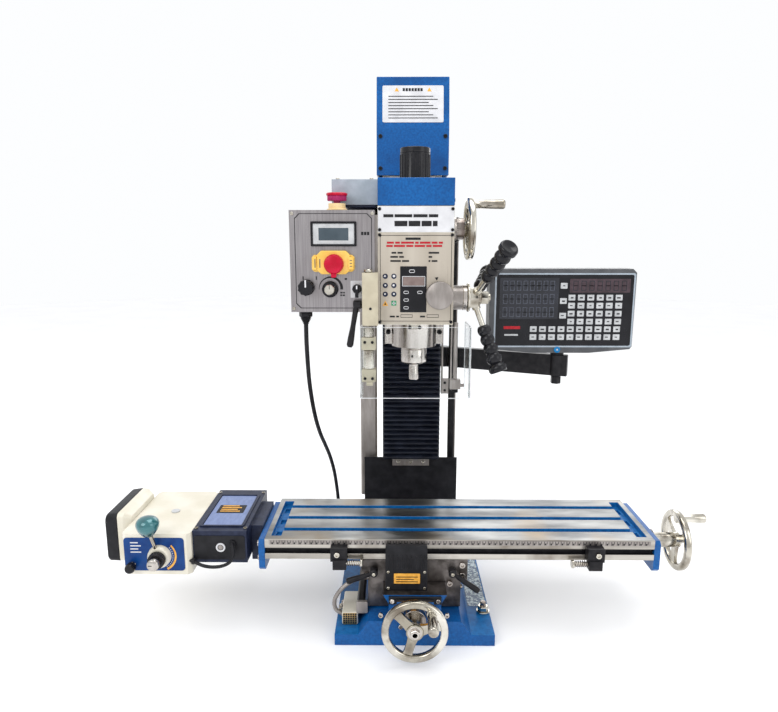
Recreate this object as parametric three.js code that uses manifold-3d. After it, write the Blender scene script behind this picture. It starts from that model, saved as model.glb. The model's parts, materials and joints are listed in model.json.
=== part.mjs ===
// Benchtop milling machine with a power-fed table, a digital readout and a sprung spindle guard.
// Millimetres, +Z up. The origin is the centre of the base's underside and the operator stands at -Y.
// X runs to the operator's right, along the table.

import * as THREE from 'three';
import { mergeVertices } from 'three/addons/utils/BufferGeometryUtils.js';
import Module from 'manifold-3d';

const wasm = await Module();
wasm.setup();

// ---------------------------------------------------------------- driving dimensions
const GAP = 0.4;                 // clearance kept between neighbouring pieces

const BASE = { halfX: 142, halfY: 240, flange: 21, shoulder: 47, neckHalf: 46, wayLow: 81, wayTop: 98 };
const FOOT = { halfX: 100, front: 112, top: 128 };
const COLUMN = { halfX: 62, front: 125, back: 235, top: 930, railBottom: 228, railFront: 102 };
const COVER = { halfX: 74, bottom: 838, top: 1033, wall: 3 };

const SADDLE = { halfX: 96, legHalfX: 84, front: -196, back: -16, bottom: 49, shelf: 101, top: 141 };
const TABLE = { left: -270, right: 430, front: -196, back: -16, bottom: 141.4, top: 180 };
const TABLE_MID = (TABLE.front + TABLE.back) / 2;
const T_SLOT = { pitch: 50, neck: 12, neckDepth: 8, head: 20, headDepth: 7 };
const BRACKET = 11.5;            // thickness of the table's end brackets

const X_SCREW = { y: TABLE_MID, z: 137, radius: 9 };
const Y_SCREW = { x: -2, z: 67, radius: 8 };
const Z_SCREW = { x: 0, y: 130, radius: 9 };
const SCREW_END = 6;             // radius of a screw's plain end, inside its wheel

const WHEEL = { rim: 13, width: 13, hub: 14, grip: 44 };
const X_WHEEL = { radius: 57.5, reach: 67 };
const Y_WHEEL = { radius: 56, reach: 46 };
const Z_WHEEL = { radius: 57, reach: 29 };

const SPINDLE = { x: 0, y: -65 };
const HEAD = { halfX: 66, front: -143, back: 70, bottom: 561, top: 765, slideBack: 124.6 };
const QUILL = { radius: 30, bottom: 510.5, top: 700, housing: 42, housingBottom: 512 };
const NOSE = { radius: 24, bottom: 477 };
const ARBOR = { radius: 9, bottom: 445 };
const CAPSTAN = { y: -100, z: 605, boss: 94, tip: 137, leverReach: 135, leverLean: 47, firstLever: 47 };
const Z_SHAFT = { y: -60, z: 728, boss: 72 };
const BOX = { left: -217, right: -71, front: -150, back: -92, bottom: 584, top: 758, wall: 2.5 };
const HINGE = { x: -82, y: -161 };
const GUARD = { halfX: 96, front: -172, bottom: 434, top: 560, sheet: 3 };
const MOTOR = { x: -98, y: -20, radius: 31 };
const PULLEY = { bottom: 776, top: 800, driving: 18, driven: 30 };

const FEED = { left: -524, right: -401, front: -205, back: -13, bottom: 115, top: 193 };
const FEED_DIAL = { x: -456, z: 152 };
const STOP_ROD = { y: -208, z: 141, radius: 3.5 };

const READOUT = { x: 306, y: 66, halfX: 149, bottom: 476, top: 650, depth: 44 };
const ARM = { x: 76, y: 165, bottom: 425, top: 470, thick: 16 };

const CORD = { radius: 4, exit: [-196, -121, 559] };
const COIL = { x: -215, y: 240, inner: 34, outer: 54, height: 28 };

// ---------------------------------------------------------------- finishes
const finish = (color, roughness, metalness) =>
  new THREE.MeshStandardMaterial({ color, roughness, metalness });
const BLUE = [0x1468b8, 0.4, 0.1];
const NAVY = [0x1b2233, 0.5, 0.1];
const STEEL = [0x9a9a98, 0.35, 0.9];
const BRIGHT = [0xd9d9d6, 0.2, 0.95];
const CREAM = [0xe9e2cf, 0.5, 0.1];
const BLACK = [0x16171a, 0.5, 0.1];
const RUBBER = [0x101012, 0.8, 0];
const BRUSHED = [0xb5b0aa, 0.4, 0.8];
const BRONZE = [0xa9834a, 0.45, 0.8];
const GREY = [0x8f9499, 0.5, 0.2];
const YELLOW = [0xf1b52c, 0.4, 0];
const RED = [0xd4213a, 0.35, 0];
const TEAL = [0x2c6f78, 0.3, 0];
const CLEAR = [0xdfe6e8, 0.1, 0];

// ---------------------------------------------------------------- shape helpers
function toSolid(geometry) {
  const bare = new THREE.BufferGeometry();
  bare.setAttribute('position', geometry.getAttribute('position'));
  bare.setIndex(geometry.index);
  const merged = mergeVertices(bare, 1e-4);
  const vertProperties = new Float32Array(merged.getAttribute('position').array);
  const triVerts = new Uint32Array(merged.index.array);
  return new wasm.Manifold(new wasm.Mesh({ numProp: 3, vertProperties, triVerts }));
}

function toGeometry(solid) {
  const mesh = solid.getMesh();
  const geometry = new THREE.BufferGeometry();
  geometry.setAttribute('position', new THREE.BufferAttribute(new Float32Array(mesh.vertProperties), 3));
  geometry.setIndex(new THREE.BufferAttribute(new Uint32Array(mesh.triVerts), 1));
  geometry.computeVertexNormals();
  return geometry;
}

const join = (...shapes) => toGeometry(shapes.map(toSolid).reduce((a, b) => a.add(b)));
const cut = (shape, ...tools) =>
  toGeometry(tools.map(toSolid).reduce((a, b) => a.subtract(b), toSolid(shape)));

// A box between two limits on each axis.
function block(x0, x1, y0, y1, z0, z1) {
  const box = new THREE.BoxGeometry(x1 - x0, y1 - y0, z1 - z0);
  return box.translate((x0 + x1) / 2, (y0 + y1) / 2, (z0 + z1) / 2);
}

// Turns a shape made along local +Z so that it lies along the named axis.
const AXES = {
  x: new THREE.Matrix4().makeBasis(
    new THREE.Vector3(0, 1, 0), new THREE.Vector3(0, 0, 1), new THREE.Vector3(1, 0, 0)),
  y: new THREE.Matrix4().makeBasis(
    new THREE.Vector3(0, 0, 1), new THREE.Vector3(1, 0, 0), new THREE.Vector3(0, 1, 0)),
  z: new THREE.Matrix4(),
};

// A round bar along an axis. The centre gives the two other coordinates, in X, Y, Z order.
function bar(axis, radius, from, to, [a, b], sides = 16) {
  const rod = new THREE.CylinderGeometry(radius, radius, to - from, sides);
  rod.rotateX(Math.PI / 2).translate(0, 0, (from + to) / 2).applyMatrix4(AXES[axis]);
  if (axis === 'x') return rod.translate(0, a, b);
  if (axis === 'y') return rod.translate(a, 0, b);
  return rod.translate(a, b, 0);
}

// An outline pushed along an axis. Along x the outline is (y, z), along y it is (x, z), along z (x, y).
function prism(axis, points, from, to) {
  const shape = new THREE.Shape(points.map(([u, v]) => new THREE.Vector2(u, v)));
  const solid = new THREE.ExtrudeGeometry(shape, { depth: to - from, bevelEnabled: false });
  if (axis === 'x') return indexed(solid.applyMatrix4(AXES.x)).translate(from, 0, 0);
  if (axis === 'y') return indexed(solid.rotateX(Math.PI / 2)).translate(0, to, 0);
  return indexed(solid).translate(0, 0, from);
}

function indexed(geometry) {
  geometry.deleteAttribute('normal');
  geometry.deleteAttribute('uv');
  return mergeVertices(geometry, 1e-4);
}

// A profile of [radius, z] points turned about +Z.
function turned(profile, sides = 20) {
  const lathe = new THREE.LatheGeometry(profile.map(([r, z]) => new THREE.Vector2(r, z)), sides);
  return indexed(lathe.rotateX(Math.PI / 2));
}

// A rectangle with cut corners.
function cutCorners(u0, u1, v0, v1, c) {
  return [
    [u0 + c, v0], [u1 - c, v0], [u1, v0 + c], [u1, v1 - c],
    [u1 - c, v1], [u0 + c, v1], [u0, v1 - c], [u0, v0 + c],
  ];
}

// A round bar between any two points, or a cone when the radii differ.
function strut(from, to, startRadius, endRadius, sides = 12) {
  const start = new THREE.Vector3(...from);
  const end = new THREE.Vector3(...to);
  const along = end.clone().sub(start);
  const rod = new THREE.CylinderGeometry(endRadius, startRadius, along.length(), sides);
  rod.translate(0, along.length() / 2, 0);
  const turn = new THREE.Quaternion().setFromUnitVectors(new THREE.Vector3(0, 1, 0), along.normalize());
  return rod.applyQuaternion(turn).translate(...from);
}

const machine = new THREE.Group();

function piece(name, geometry, look, parent = machine) {
  const mesh = new THREE.Mesh(geometry, finish(...look));
  mesh.name = name;
  parent.add(mesh);
  return mesh;
}

// ---------------------------------------------------------------- base and column
function addBase() {
  const { halfX, halfY, flange, shoulder, neckHalf, wayLow, wayTop } = BASE;
  const section = [
    [-halfX, 0], [halfX, 0], [halfX, flange], [100, flange], [82, shoulder], [neckHalf, shoulder],
    [neckHalf, wayLow], [neckHalf + 10, wayTop], [-neckHalf - 10, wayTop], [-neckHalf, wayLow],
    [-neckHalf, shoulder], [-82, shoulder], [-100, flange], [-halfX, flange],
  ];
  const wayBack = 108;
  const front = prism('y', section, -halfY, wayBack);
  const flangeBack = block(-halfX, halfX, wayBack - 1, halfY, 0, flange);
  const foot = block(-FOOT.halfX, FOOT.halfX, FOOT.front, halfY, 10, FOOT.top);
  const bridge = block(-84, 84, wayBack - 1, FOOT.front + 1, 10, shoulder);
  const screwBearing = block(-32, 32, -halfY - 12, -halfY + 1, 40, 92);
  const channel = block(-15, 15, -halfY + 20, 111, 55, wayTop + 1);
  const screwBore = bar('y', Y_SCREW.radius + GAP, -halfY - 13, -halfY + 21, [Y_SCREW.x, Y_SCREW.z]);
  const frontPocket = block(-72, 72, -222, -14, -1, 34);
  const rearPocket = block(-84, 84, 14, 222, -1, 34);
  const footPocket = block(-84, 84, 128, 222, 33, 108);
  const holes = [];
  for (const x of [-130, 130]) {
    for (const y of [-168, 168]) holes.push(bar('z', 7, -1, flange + 1, [x, y], 10));
  }
  const casting = join(front, flangeBack, foot, bridge, screwBearing);
  const hollows = [channel, screwBore, frontPocket, rearPocket, footPocket];
  piece('base_casting', cut(casting, ...hollows, ...holes), BLUE);

  const vents = block(-131, -102, -212, -140, flange + GAP, 46);
  piece('vented_box', vents, CREAM);
}

function addColumn() {
  const { halfX, front, back, top, railBottom, railFront } = COLUMN;
  const bottom = FOOT.top + GAP;
  const body = block(-halfX, halfX, front, back, bottom, top);
  const railSection = [[-47, railFront], [47, railFront], [40, front + 0.5], [-40, front + 0.5]];
  const rails = prism('z', railSection, railBottom, top);
  const channel = block(-18, 18, railFront - 1, 157, bottom - 1, top + 1);
  const core = block(-50, 50, 172, back - 11, bottom - 1, top - 14);
  piece('column', cut(join(body, rails), channel, core), CREAM);

  const screw = join(
    bar('z', Z_SCREW.radius, bottom + 12, 890, [Z_SCREW.x, Z_SCREW.y]),
    bar('z', 15, bottom, bottom + 13, [Z_SCREW.x, Z_SCREW.y]),
  );
  piece('z_leadscrew', screw, STEEL);

  const { wall } = COVER;
  const skin = [[96, COVER.bottom], [240, COVER.bottom], [240, COVER.top], [112, COVER.top], [96, top]];
  const space = [
    [96 + wall, COVER.bottom - 1], [240 - wall, COVER.bottom - 1], [240 - wall, COVER.top - wall],
    [112 + wall, COVER.top - wall], [96 + wall, top],
  ];
  const outer = prism('x', skin, -COVER.halfX, COVER.halfX);
  const inner = prism('x', space, wall - COVER.halfX, COVER.halfX - wall);
  piece('column_cover', cut(outer, inner), BLUE);

  piece('cable_trunking', prism('z', cutCorners(-113, -76, 128, 160, 3), FOOT.top, 780), GREY);
  piece('way_flap', block(-104, 104, 108, 110, 118, 226), RUBBER);
}

// A concertina of pleats between the foot of the column and the head's slide.
function addBellows() {
  const bottom = 230;
  const top = HEAD.bottom - GAP;
  const pleats = 16;
  const pitch = (top - bottom) / pleats;
  const edge = [];
  for (let i = 0; i < pleats; i += 1) {
    edge.push([80, bottom + i * pitch], [76, bottom + (i + 0.5) * pitch]);
  }
  edge.push([80, top], [98, top], [98, bottom]);
  piece('bellows', prism('x', edge, -62, 62), RUBBER);
}

// ---------------------------------------------------------------- saddle
function addSaddle() {
  const { halfX, legHalfX, front, back, bottom, shelf, top } = SADDLE;
  const legs = block(-legHalfX, legHalfX, front, back, bottom, shelf + 1);
  const bed = block(-halfX, halfX, front, back, shelf, top);
  const way = prism('x', [
    [TABLE_MID - 45, top - 1], [TABLE_MID + 45, top - 1],
    [TABLE_MID + 52, top + 14.6], [TABLE_MID - 52, top + 14.6],
  ], -halfX, halfX);
  const inner = BASE.neckHalf + 0.5;
  const baseWay = prism('y', [
    [-inner, bottom - 1], [inner, bottom - 1], [inner, BASE.wayLow - GAP],
    [inner + 10.4, BASE.wayTop + GAP], [-inner - 10.4, BASE.wayTop + GAP], [-inner, BASE.wayLow - GAP],
  ], front - 1, back + 1);
  const screwSlot = block(-halfX - 1, halfX + 1, X_SCREW.y - 15, X_SCREW.y + 15, 120, top + 20);
  const nutWell = block(-21, 21, X_SCREW.y - 21, X_SCREW.y + 21, BASE.wayTop - 1, 121);
  piece('saddle', cut(join(legs, bed, way), baseWay, screwSlot, nutWell), STEEL);

  const upper = block(-19, 19, X_SCREW.y - 14, X_SCREW.y + 14, 112, 151);
  const lower = block(-13, 13, X_SCREW.y - 19, X_SCREW.y + 19, 57, 113);
  const xBore = bar('x', X_SCREW.radius + GAP, -20, 20, [X_SCREW.y, X_SCREW.z]);
  const yBore = bar('y', Y_SCREW.radius + GAP, X_SCREW.y - 20, X_SCREW.y + 20, [Y_SCREW.x, Y_SCREW.z]);
  piece('screw_nut_block', cut(join(upper, lower), xBore, yBore), BRONZE);

  const body = block(-52, 22, -226, front - GAP, 98, 139);
  const cap = prism('x', [[-226, 138], [-199, 138], [-199, 174], [-216, 178], [-226, 160]], -52, 22);
  piece('limit_switch_box', join(body, cap), BLACK);

  addTableLock('x_lock_left', -73, 121, [-122, 108]);
  addTableLock('x_lock_right', 68, 121, [115, 90]);
}

// A clamping lever on the saddle's front face, with its arm reaching to the tip given as x and z.
function addTableLock(name, x, z, [tipX, tipZ]) {
  const hub = bar('y', 7, SADDLE.front - 16, SADDLE.front - GAP, [x, z], 16);
  const arm = strut([x, SADDLE.front - 12, z], [tipX, SADDLE.front - 18, tipZ], 4.5, 4, 8);
  piece(name, join(hub, arm), BLACK);
}

// ---------------------------------------------------------------- table
function addTable() {
  const { left, right, front, back, bottom, top } = TABLE;
  const slab = block(left, right, front, back, bottom, top);
  const way = prism('x', [
    [TABLE_MID - 45.5, bottom - 1], [TABLE_MID + 45.5, bottom - 1],
    [TABLE_MID + 52.6, 156.4], [TABLE_MID - 52.6, 156.4],
  ], left - 1, right + 1);
  const cuts = [way, block(left - 1, right + 1, front - 1, front + 8, 152.5, 162.5)];
  const slotLeft = left + 14;
  const slotRight = right - 14;
  for (const offset of [-1, 0, 1]) {
    const y = TABLE_MID + offset * T_SLOT.pitch;
    const deep = top - T_SLOT.neckDepth;
    const slot = (width, z0, z1) => block(slotLeft, slotRight, y - width / 2, y + width / 2, z0, z1);
    cuts.push(slot(T_SLOT.neck, deep - 1, top + 1), slot(T_SLOT.head, deep - T_SLOT.headDepth, deep));
  }
  for (const x of [left + 10, right - 28]) {
    cuts.push(block(x, x + 18, front + 14, back - 14, top - 10, top + 1));
  }
  piece('table', cut(slab, ...cuts), STEEL);

  const bore = (x) => bar('x', SCREW_END + GAP, x - 1, x + BRACKET + 1, [X_SCREW.y, X_SCREW.z]);
  const plate = (x) => prism('x', cutCorners(front + 2, back - 2, 117, 176, 6), x, x + BRACKET);
  const leftPlate = left - GAP - BRACKET;
  const rightPlate = right + GAP;
  piece('table_bracket_left', cut(plate(leftPlate), bore(leftPlate)), BLUE);
  piece('table_bracket_right', cut(plate(rightPlate), bore(rightPlate)), BLUE);

  addStop('left', -150, 1);
  addStop('right', 336, -1);
}

// A stop dog clamped in the table's front slot, with a sprung plunger that points along `side`.
function addStop(name, outerX, side) {
  const span = (a, b) => (side > 0 ? [outerX + a, outerX + b] : [outerX - b, outerX - a]);
  const dog = (a, b, ...rest) => block(...span(a, b), ...rest);
  const clamp = dog(0, 30, -214, TABLE.front - GAP, 146, 171);
  const tongue = dog(2, 28, -198, TABLE.front + 6, 153.3, 161.8);
  const boss = dog(4, 28, -217, -198.5, 131.5, 150);
  const hole = bar('x', STOP_ROD.radius + GAP, ...span(-1, 31), [STOP_ROD.y, STOP_ROD.z], 10);
  piece(`stop_${name}`, cut(join(clamp, tongue, boss), hole), BLACK);

  const rod = bar('x', STOP_ROD.radius, ...span(6, 54), [STOP_ROD.y, STOP_ROD.z], 10);
  const disc = bar('x', 7.5, ...span(53, 58), [STOP_ROD.y, STOP_ROD.z], 14);
  piece(`plunger_${name}`, join(rod, disc), BRIGHT);
}

// ---------------------------------------------------------------- power feed
function addFeed() {
  const { left, right, front, back, bottom, top } = FEED;
  const body = prism('z', cutCorners(left, right, front, back, 7), bottom, top);
  const dialBore = bar('y', 6.4, front - 1, front + 24, [FEED_DIAL.x, FEED_DIAL.z], 12);
  const knob = { x: -506, z: 134 };
  const knobBore = bar('y', 4.4, front - 1, front + 20, [knob.x, knob.z], 10);
  piece('feed_housing', cut(body, dialBore, knobBore), CREAM);

  piece('feed_end_cap', prism('x', cutCorners(-166, -34, 117, 212, 8), left - 46, left - GAP), BLACK);

  const deck = block(right + GAP, -303, -192, -4, 132, top);
  const neck = block(-304, TABLE.left - 2 * GAP - BRACKET, -150, -40, 116, 184);
  const screwBore = bar('x', X_SCREW.radius + GAP, right + 20, -270, [X_SCREW.y, X_SCREW.z]);
  piece('feed_adapter', cut(join(deck, neck), screwBore), NAVY);

  const ring = bar('y', 21, front - 12, front - GAP, [FEED_DIAL.x, FEED_DIAL.z], 22);
  const arm = strut([FEED_DIAL.x - 4, front - 7, FEED_DIAL.z + 14], [-466, front - 16, 204], 4, 4, 12);
  const ball = new THREE.SphereGeometry(19, 14, 9).translate(-467, front - 18, 216);
  const hole = bar('y', 6.4, front - 13, front, [FEED_DIAL.x, FEED_DIAL.z], 12);
  piece('feed_lever', cut(join(ring, arm, toGeometry(toSolid(indexed(ball)))), hole), TEAL);

  const dial = join(
    bar('y', 6, front - 20, front + 20, [FEED_DIAL.x, FEED_DIAL.z], 12),
    bar('y', 15, front - 24, front - 12 - GAP, [FEED_DIAL.x, FEED_DIAL.z], 20),
    bar('y', 10.5, front - 38, front - 23, [FEED_DIAL.x, FEED_DIAL.z], 16),
  );
  piece('feed_speed_dial', dial, BLACK);

  const rapid = join(
    bar('y', 4, front - 8, front + 11, [knob.x, knob.z], 10),
    bar('y', 9, front - 19, front - 7, [knob.x, knob.z], 16),
  );
  piece('feed_rapid_knob', rapid, BLACK);
}

// ---------------------------------------------------------------- handwheels and screws
// A three-spoked handwheel about local +Z, with its rim's middle `reach` along the axis.
function handwheel(radius, reach) {
  const { rim, width, hub } = WHEEL;
  const half = width / 2;
  const ring = turned([
    [radius - rim, reach - half], [radius - 3, reach - half], [radius, reach - half + 3],
    [radius, reach + half - 3], [radius - 3, reach + half], [radius - rim, reach + half],
    [radius - rim, reach - half],
  ], 28);
  const dial = bar('z', 21, GAP, Math.min(20, reach - half - 4), [0, 0], 24);
  const core = bar('z', hub, 1, reach + half - 1, [0, 0], 16);
  const spokes = [0, 1, 2].map((i) => {
    const spoke = block(-8, 8, hub - 3, radius - rim + 3, reach - 4, reach + 3);
    return spoke.rotateZ(Math.PI + (i * 2 * Math.PI) / 3);
  });
  const lug = bar('z', 9, reach - half + 1, reach + half + 1, [0, WHEEL.grip], 12);
  const bore = bar('z', SCREW_END + GAP, 0, reach + half, [0, 0], 12);
  const gripHole = bar('z', 3.4, reach - half, reach + half + 2, [0, WHEEL.grip], 8);
  return cut(join(ring, dial, core, lug, ...spokes), bore, gripHole);
}

// The revolving grip that stands out of a handwheel's rim.
function wheelGrip(reach, length) {
  const start = reach + WHEEL.width / 2 + 1 + GAP;
  const end = start + length;
  const profile = [
    [0, start - 14], [3, start - 14], [3, start], [5.5, start], [7, start + length * 0.3], [8.5, end - 8],
    [8.5, end - 2], [6.5, end], [0, end],
  ];
  return turned(profile, 14).translate(0, WHEEL.grip, 0);
}

// Puts a handwheel's group so that local +Z becomes the axle's direction and +Y points up.
function addWheel(name, size, place, turn, swing, gripLength) {
  const axle = new THREE.Group();
  axle.position.set(...place);
  axle.quaternion.copy(turn);
  machine.add(axle);
  const wheel = new THREE.Group();
  wheel.rotation.z = swing;
  axle.add(wheel);
  piece(`${name}_handwheel`, handwheel(size.radius, size.reach), BRIGHT, wheel);
  piece(`${name}_wheel_grip`, wheelGrip(size.reach, gripLength), BRIGHT, wheel);
}

const TOWARDS_RIGHT = new THREE.Quaternion().setFromRotationMatrix(AXES.x);
const TOWARDS_FRONT = new THREE.Quaternion().setFromAxisAngle(new THREE.Vector3(1, 0, 0), Math.PI / 2);

function addScrews() {
  const rightFace = TABLE.right + GAP + BRACKET;
  const at = [X_SCREW.y, X_SCREW.z];
  const xScrew = join(
    bar('x', X_SCREW.radius, TABLE.left + GAP, TABLE.right - GAP, at),
    bar('x', SCREW_END, FEED.right + 30, rightFace + X_WHEEL.reach + 12, at),
  );
  piece('x_leadscrew', xScrew, STEEL);
  addWheel('x', X_WHEEL, [rightFace, ...at], TOWARDS_RIGHT, 0, 44);

  const yFace = -BASE.halfY - 12;
  const yScrew = join(
    bar('y', Y_SCREW.radius, -BASE.halfY - 8, 92, [Y_SCREW.x, Y_SCREW.z]),
    bar('y', SCREW_END, yFace - Y_WHEEL.reach - 12, -BASE.halfY, [Y_SCREW.x, Y_SCREW.z]),
  );
  piece('y_leadscrew', yScrew, STEEL);
  const yGripSwing = -0.68;
  addWheel('y', Y_WHEEL, [Y_SCREW.x, yFace, Y_SCREW.z], TOWARDS_FRONT, yGripSwing, 48);
}

function addHeadDrive() {
  const axle = new THREE.Group();
  axle.position.set(Z_SHAFT.boss, Z_SHAFT.y, Z_SHAFT.z);
  axle.quaternion.copy(TOWARDS_RIGHT);
  machine.add(axle);
  const shaft = bar('z', SCREW_END, -30, Z_WHEEL.reach + 12, [0, 0]);
  const collar = bar('z', SCREW_END + 1.5, Z_WHEEL.reach + 7, Z_WHEEL.reach + 12, [0, 0]);
  const wheel = toSolid(handwheel(Z_WHEEL.radius, Z_WHEEL.reach));
  const plug = toSolid(bar('z', SCREW_END + 1, 2, Z_WHEEL.reach + 5, [0, 0]));
  const whole = wheel.add(toSolid(join(shaft, collar))).add(plug);
  piece('z_handwheel', toGeometry(whole), BRIGHT, axle);
  piece('z_wheel_grip', wheelGrip(Z_WHEEL.reach, 56), BRIGHT, axle);

  const nut = join(
    bar('z', 14, 690, 734, [Z_SCREW.x, Z_SCREW.y]),
    strut([Z_SCREW.x, Z_SCREW.y, 700], [Z_SCREW.x, Z_SCREW.y, 710], 16.5, 14.5, 24),
  );
  const bore = bar('z', Z_SCREW.radius + GAP, 688, 736, [Z_SCREW.x, Z_SCREW.y]);
  piece('z_nut', cut(nut, bore), BRONZE);
}

// ---------------------------------------------------------------- head
function addHead() {
  const { halfX, front, back, bottom, top, slideBack } = HEAD;
  const body = block(-halfX, halfX, front, back + 1, bottom, top);
  const slide = block(-halfX, halfX, back, slideBack, bottom, top - 25);
  const nose = bar('z', QUILL.housing, QUILL.housingBottom, bottom + 1, [SPINDLE.x, SPINDLE.y], 28);
  const cheek = block(-55, 55, -66, 12, QUILL.housingBottom + 2, bottom + 1);
  const capstanBoss = bar('x', 22, halfX - 1, CAPSTAN.boss, [CAPSTAN.y, CAPSTAN.z], 22);
  const wheelBoss = bar('x', 20, halfX - 1, Z_SHAFT.boss, [Z_SHAFT.y, Z_SHAFT.z], 28);
  const hingeBlock = block(-92, -65, -172, -151, GUARD.top + 3, 653);
  const hingeWeb = block(-70.5, -65, -172, -130, GUARD.top + 3, 653);
  const casting = join(body, slide, nose, cheek, capstanBoss, wheelBoss, hingeBlock, hingeWeb);

  const way = prism('z', [
    [-47.6, COLUMN.railFront - 0.5], [47.6, COLUMN.railFront - 0.5],
    [40.6, slideBack + 1], [-40.6, slideBack + 1],
  ], bottom - 1, top + 1);
  const spindleAt = [SPINDLE.x, SPINDLE.y];
  const quillBore = bar('z', QUILL.radius + GAP, QUILL.housingBottom - 1, top + 1, spindleAt, 28);
  const pinionBay = block(-13, 13, -113, -86, CAPSTAN.z - 12, CAPSTAN.z + 12);
  const pinionBore = bar('x', 7 + GAP, 0, CAPSTAN.boss + 1, [CAPSTAN.y, CAPSTAN.z]);
  const wheelBore = bar('x', SCREW_END + GAP, 38, Z_SHAFT.boss + 1, [Z_SHAFT.y, Z_SHAFT.z]);
  const hingeBore = bar('z', 4.5 + GAP, bottom - 5, 655, [HINGE.x, HINGE.y], 16);
  const core = block(-54, 54, -18, 60, bottom + 24, top + 1);
  const lockBore = bar('x', 4 + GAP, -93, -87.2, [-160, 596], 10);
  const slideLockBore = bar('x', 4 + GAP, halfX - 12, halfX + 1, [96, 702], 12);
  const feedBore = bar('y', 6 + GAP, front - 1, front + 22, [41, 614], 16);
  const bores = [quillBore, pinionBore, wheelBore, hingeBore, lockBore, slideLockBore, feedBore];
  piece('head_casting', cut(casting, way, pinionBay, core, ...bores), CREAM);

  const lidTop = 812;
  const lid = block(-halfX, halfX, front, back + 4, top + GAP, lidTop);
  const cap = bar('z', 27, lidTop - 1, 870, [SPINDLE.x, SPINDLE.y], 22);
  const inside = block(-halfX + 3, halfX - 3, front + 3, back + 1, top - 1, lidTop - 3);
  const capInside = bar('z', 17, lidTop - 5, 866, [SPINDLE.x, SPINDLE.y], 24);
  const beltGate = block(-halfX - 1, -halfX + 5, -96, 36, top - 1, lidTop - 8);
  piece('head_top_cover', cut(join(lid, cap), inside, capInside, beltGate), BLUE);

  const shellTop = 813;
  const shell = block(-148, -halfX - GAP, -100, 40, 769, shellTop);
  const room = block(-145, -halfX - 3.5, -97, 37, 768, shellTop - 3);
  const gate = block(-halfX - 5, -halfX + 1, -96, 36, 768, lidTop - 8);
  piece('belt_cover', cut(shell, room, gate), GREY);
  piece('motor', bar('z', MOTOR.radius, 604, 768, [MOTOR.x, MOTOR.y], 22), BLACK);
}

function addSpindle() {
  const at = [SPINDLE.x, SPINDLE.y];
  const tube = bar('z', QUILL.radius, QUILL.bottom, QUILL.top, at, 28);
  const spindleBore = bar('z', 16 + GAP, QUILL.bottom - 1, QUILL.top + 1, at, 22);
  const rackFlat = block(-14, 14, -100, SPINDLE.y - 24.4, 535, QUILL.top + 1);
  piece('quill', cut(tube, spindleBore, rackFlat), STEEL);

  const spindle = join(
    bar('z', ARBOR.radius, ARBOR.bottom, NOSE.bottom + 1, at),
    bar('z', NOSE.radius, NOSE.bottom, QUILL.bottom - GAP, at, 24),
    bar('z', 16, NOSE.bottom + 5, QUILL.top + 6, at, 22),
    bar('z', 11, QUILL.top, 862, at),
  );
  piece('spindle', spindle, BRIGHT);

  const pulley = (radius, centre) => turned([
    [0, 0], [radius - 2, 0], [radius - 2, 3], [radius - 5, 4], [radius - 5, 20],
    [radius - 2, 21], [radius - 2, 24], [0, 24],
  ], 22).translate(...centre, PULLEY.bottom);
  const drivenBore = bar('z', 11 + GAP, PULLEY.bottom - 1, PULLEY.top + 1, at);
  piece('spindle_pulley', cut(pulley(PULLEY.driven, at), drivenBore), BLACK);
  const motorShaft = bar('z', 7, 768 + GAP, PULLEY.bottom + 1, [MOTOR.x, MOTOR.y], 16);
  piece('motor_pulley', join(pulley(PULLEY.driving, [MOTOR.x, MOTOR.y]), motorShaft), BLACK);
}

// The quill's feed capstan: a pinion shaft, a hub and three leaning levers with ribbed grips.
function addCapstan() {
  const { y, z, boss, tip, leverReach, leverLean, firstLever } = CAPSTAN;
  const parts = [
    bar('x', 9.5, -10, 10, [y, z]),
    bar('x', 7, 9, tip - 10, [y, z]),
    bar('x', 26, boss + GAP, boss + 5, [y, z], 20),
    bar('x', 20, boss + 4, boss + 20, [y, z], 6),
    bar('x', 13, boss + 19, tip, [y, z], 14),
  ];
  for (let i = 0; i < 3; i += 1) {
    const angle = THREE.MathUtils.degToRad(firstLever + i * 120);
    const point = (f) => [
      boss + 11 + leverLean * f, y - leverReach * f * Math.sin(angle), z + leverReach * f * Math.cos(angle),
    ];
    parts.push(strut(point(0.05), point(0.45), 5, 5, 8));
    parts.push(strut(point(0.4), point(0.9), 10, 13, 10));
    parts.push(strut(point(0.88), point(1), 14, 16.5, 14));
  }
  piece('capstan', join(...parts), BLACK);

  const knobY = HEAD.front - 2 - GAP;
  const knob = join(
    bar('y', 24, knobY - 22, knobY - 4, [41, 614], 28),
    bar('y', 6, knobY - 5, HEAD.front + 20, [41, 614], 16),
  );
  piece('fine_feed_knob', knob, BRIGHT);

  const headLock = join(
    bar('x', 4, -103, -87.8, [-160, 596], 10),
    bar('x', 7.5, -108, -94, [-160, 598], 12),
    strut([-102, -160, 600], [-115, -162, 524], 5.5, 4.5, 8),
  );
  piece('head_lock_lever', headLock, BLACK);

  const slideLock = join(
    bar('x', 4, 56, 84, [96, 702], 12),
    bar('x', 8, HEAD.halfX + GAP, 88, [96, 702], 16),
    strut([82, 96, 702], [118, 80, 724], 5.5, 4.5, 8),
  );
  piece('z_lock_lever', slideLock, BLACK);
}

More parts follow.
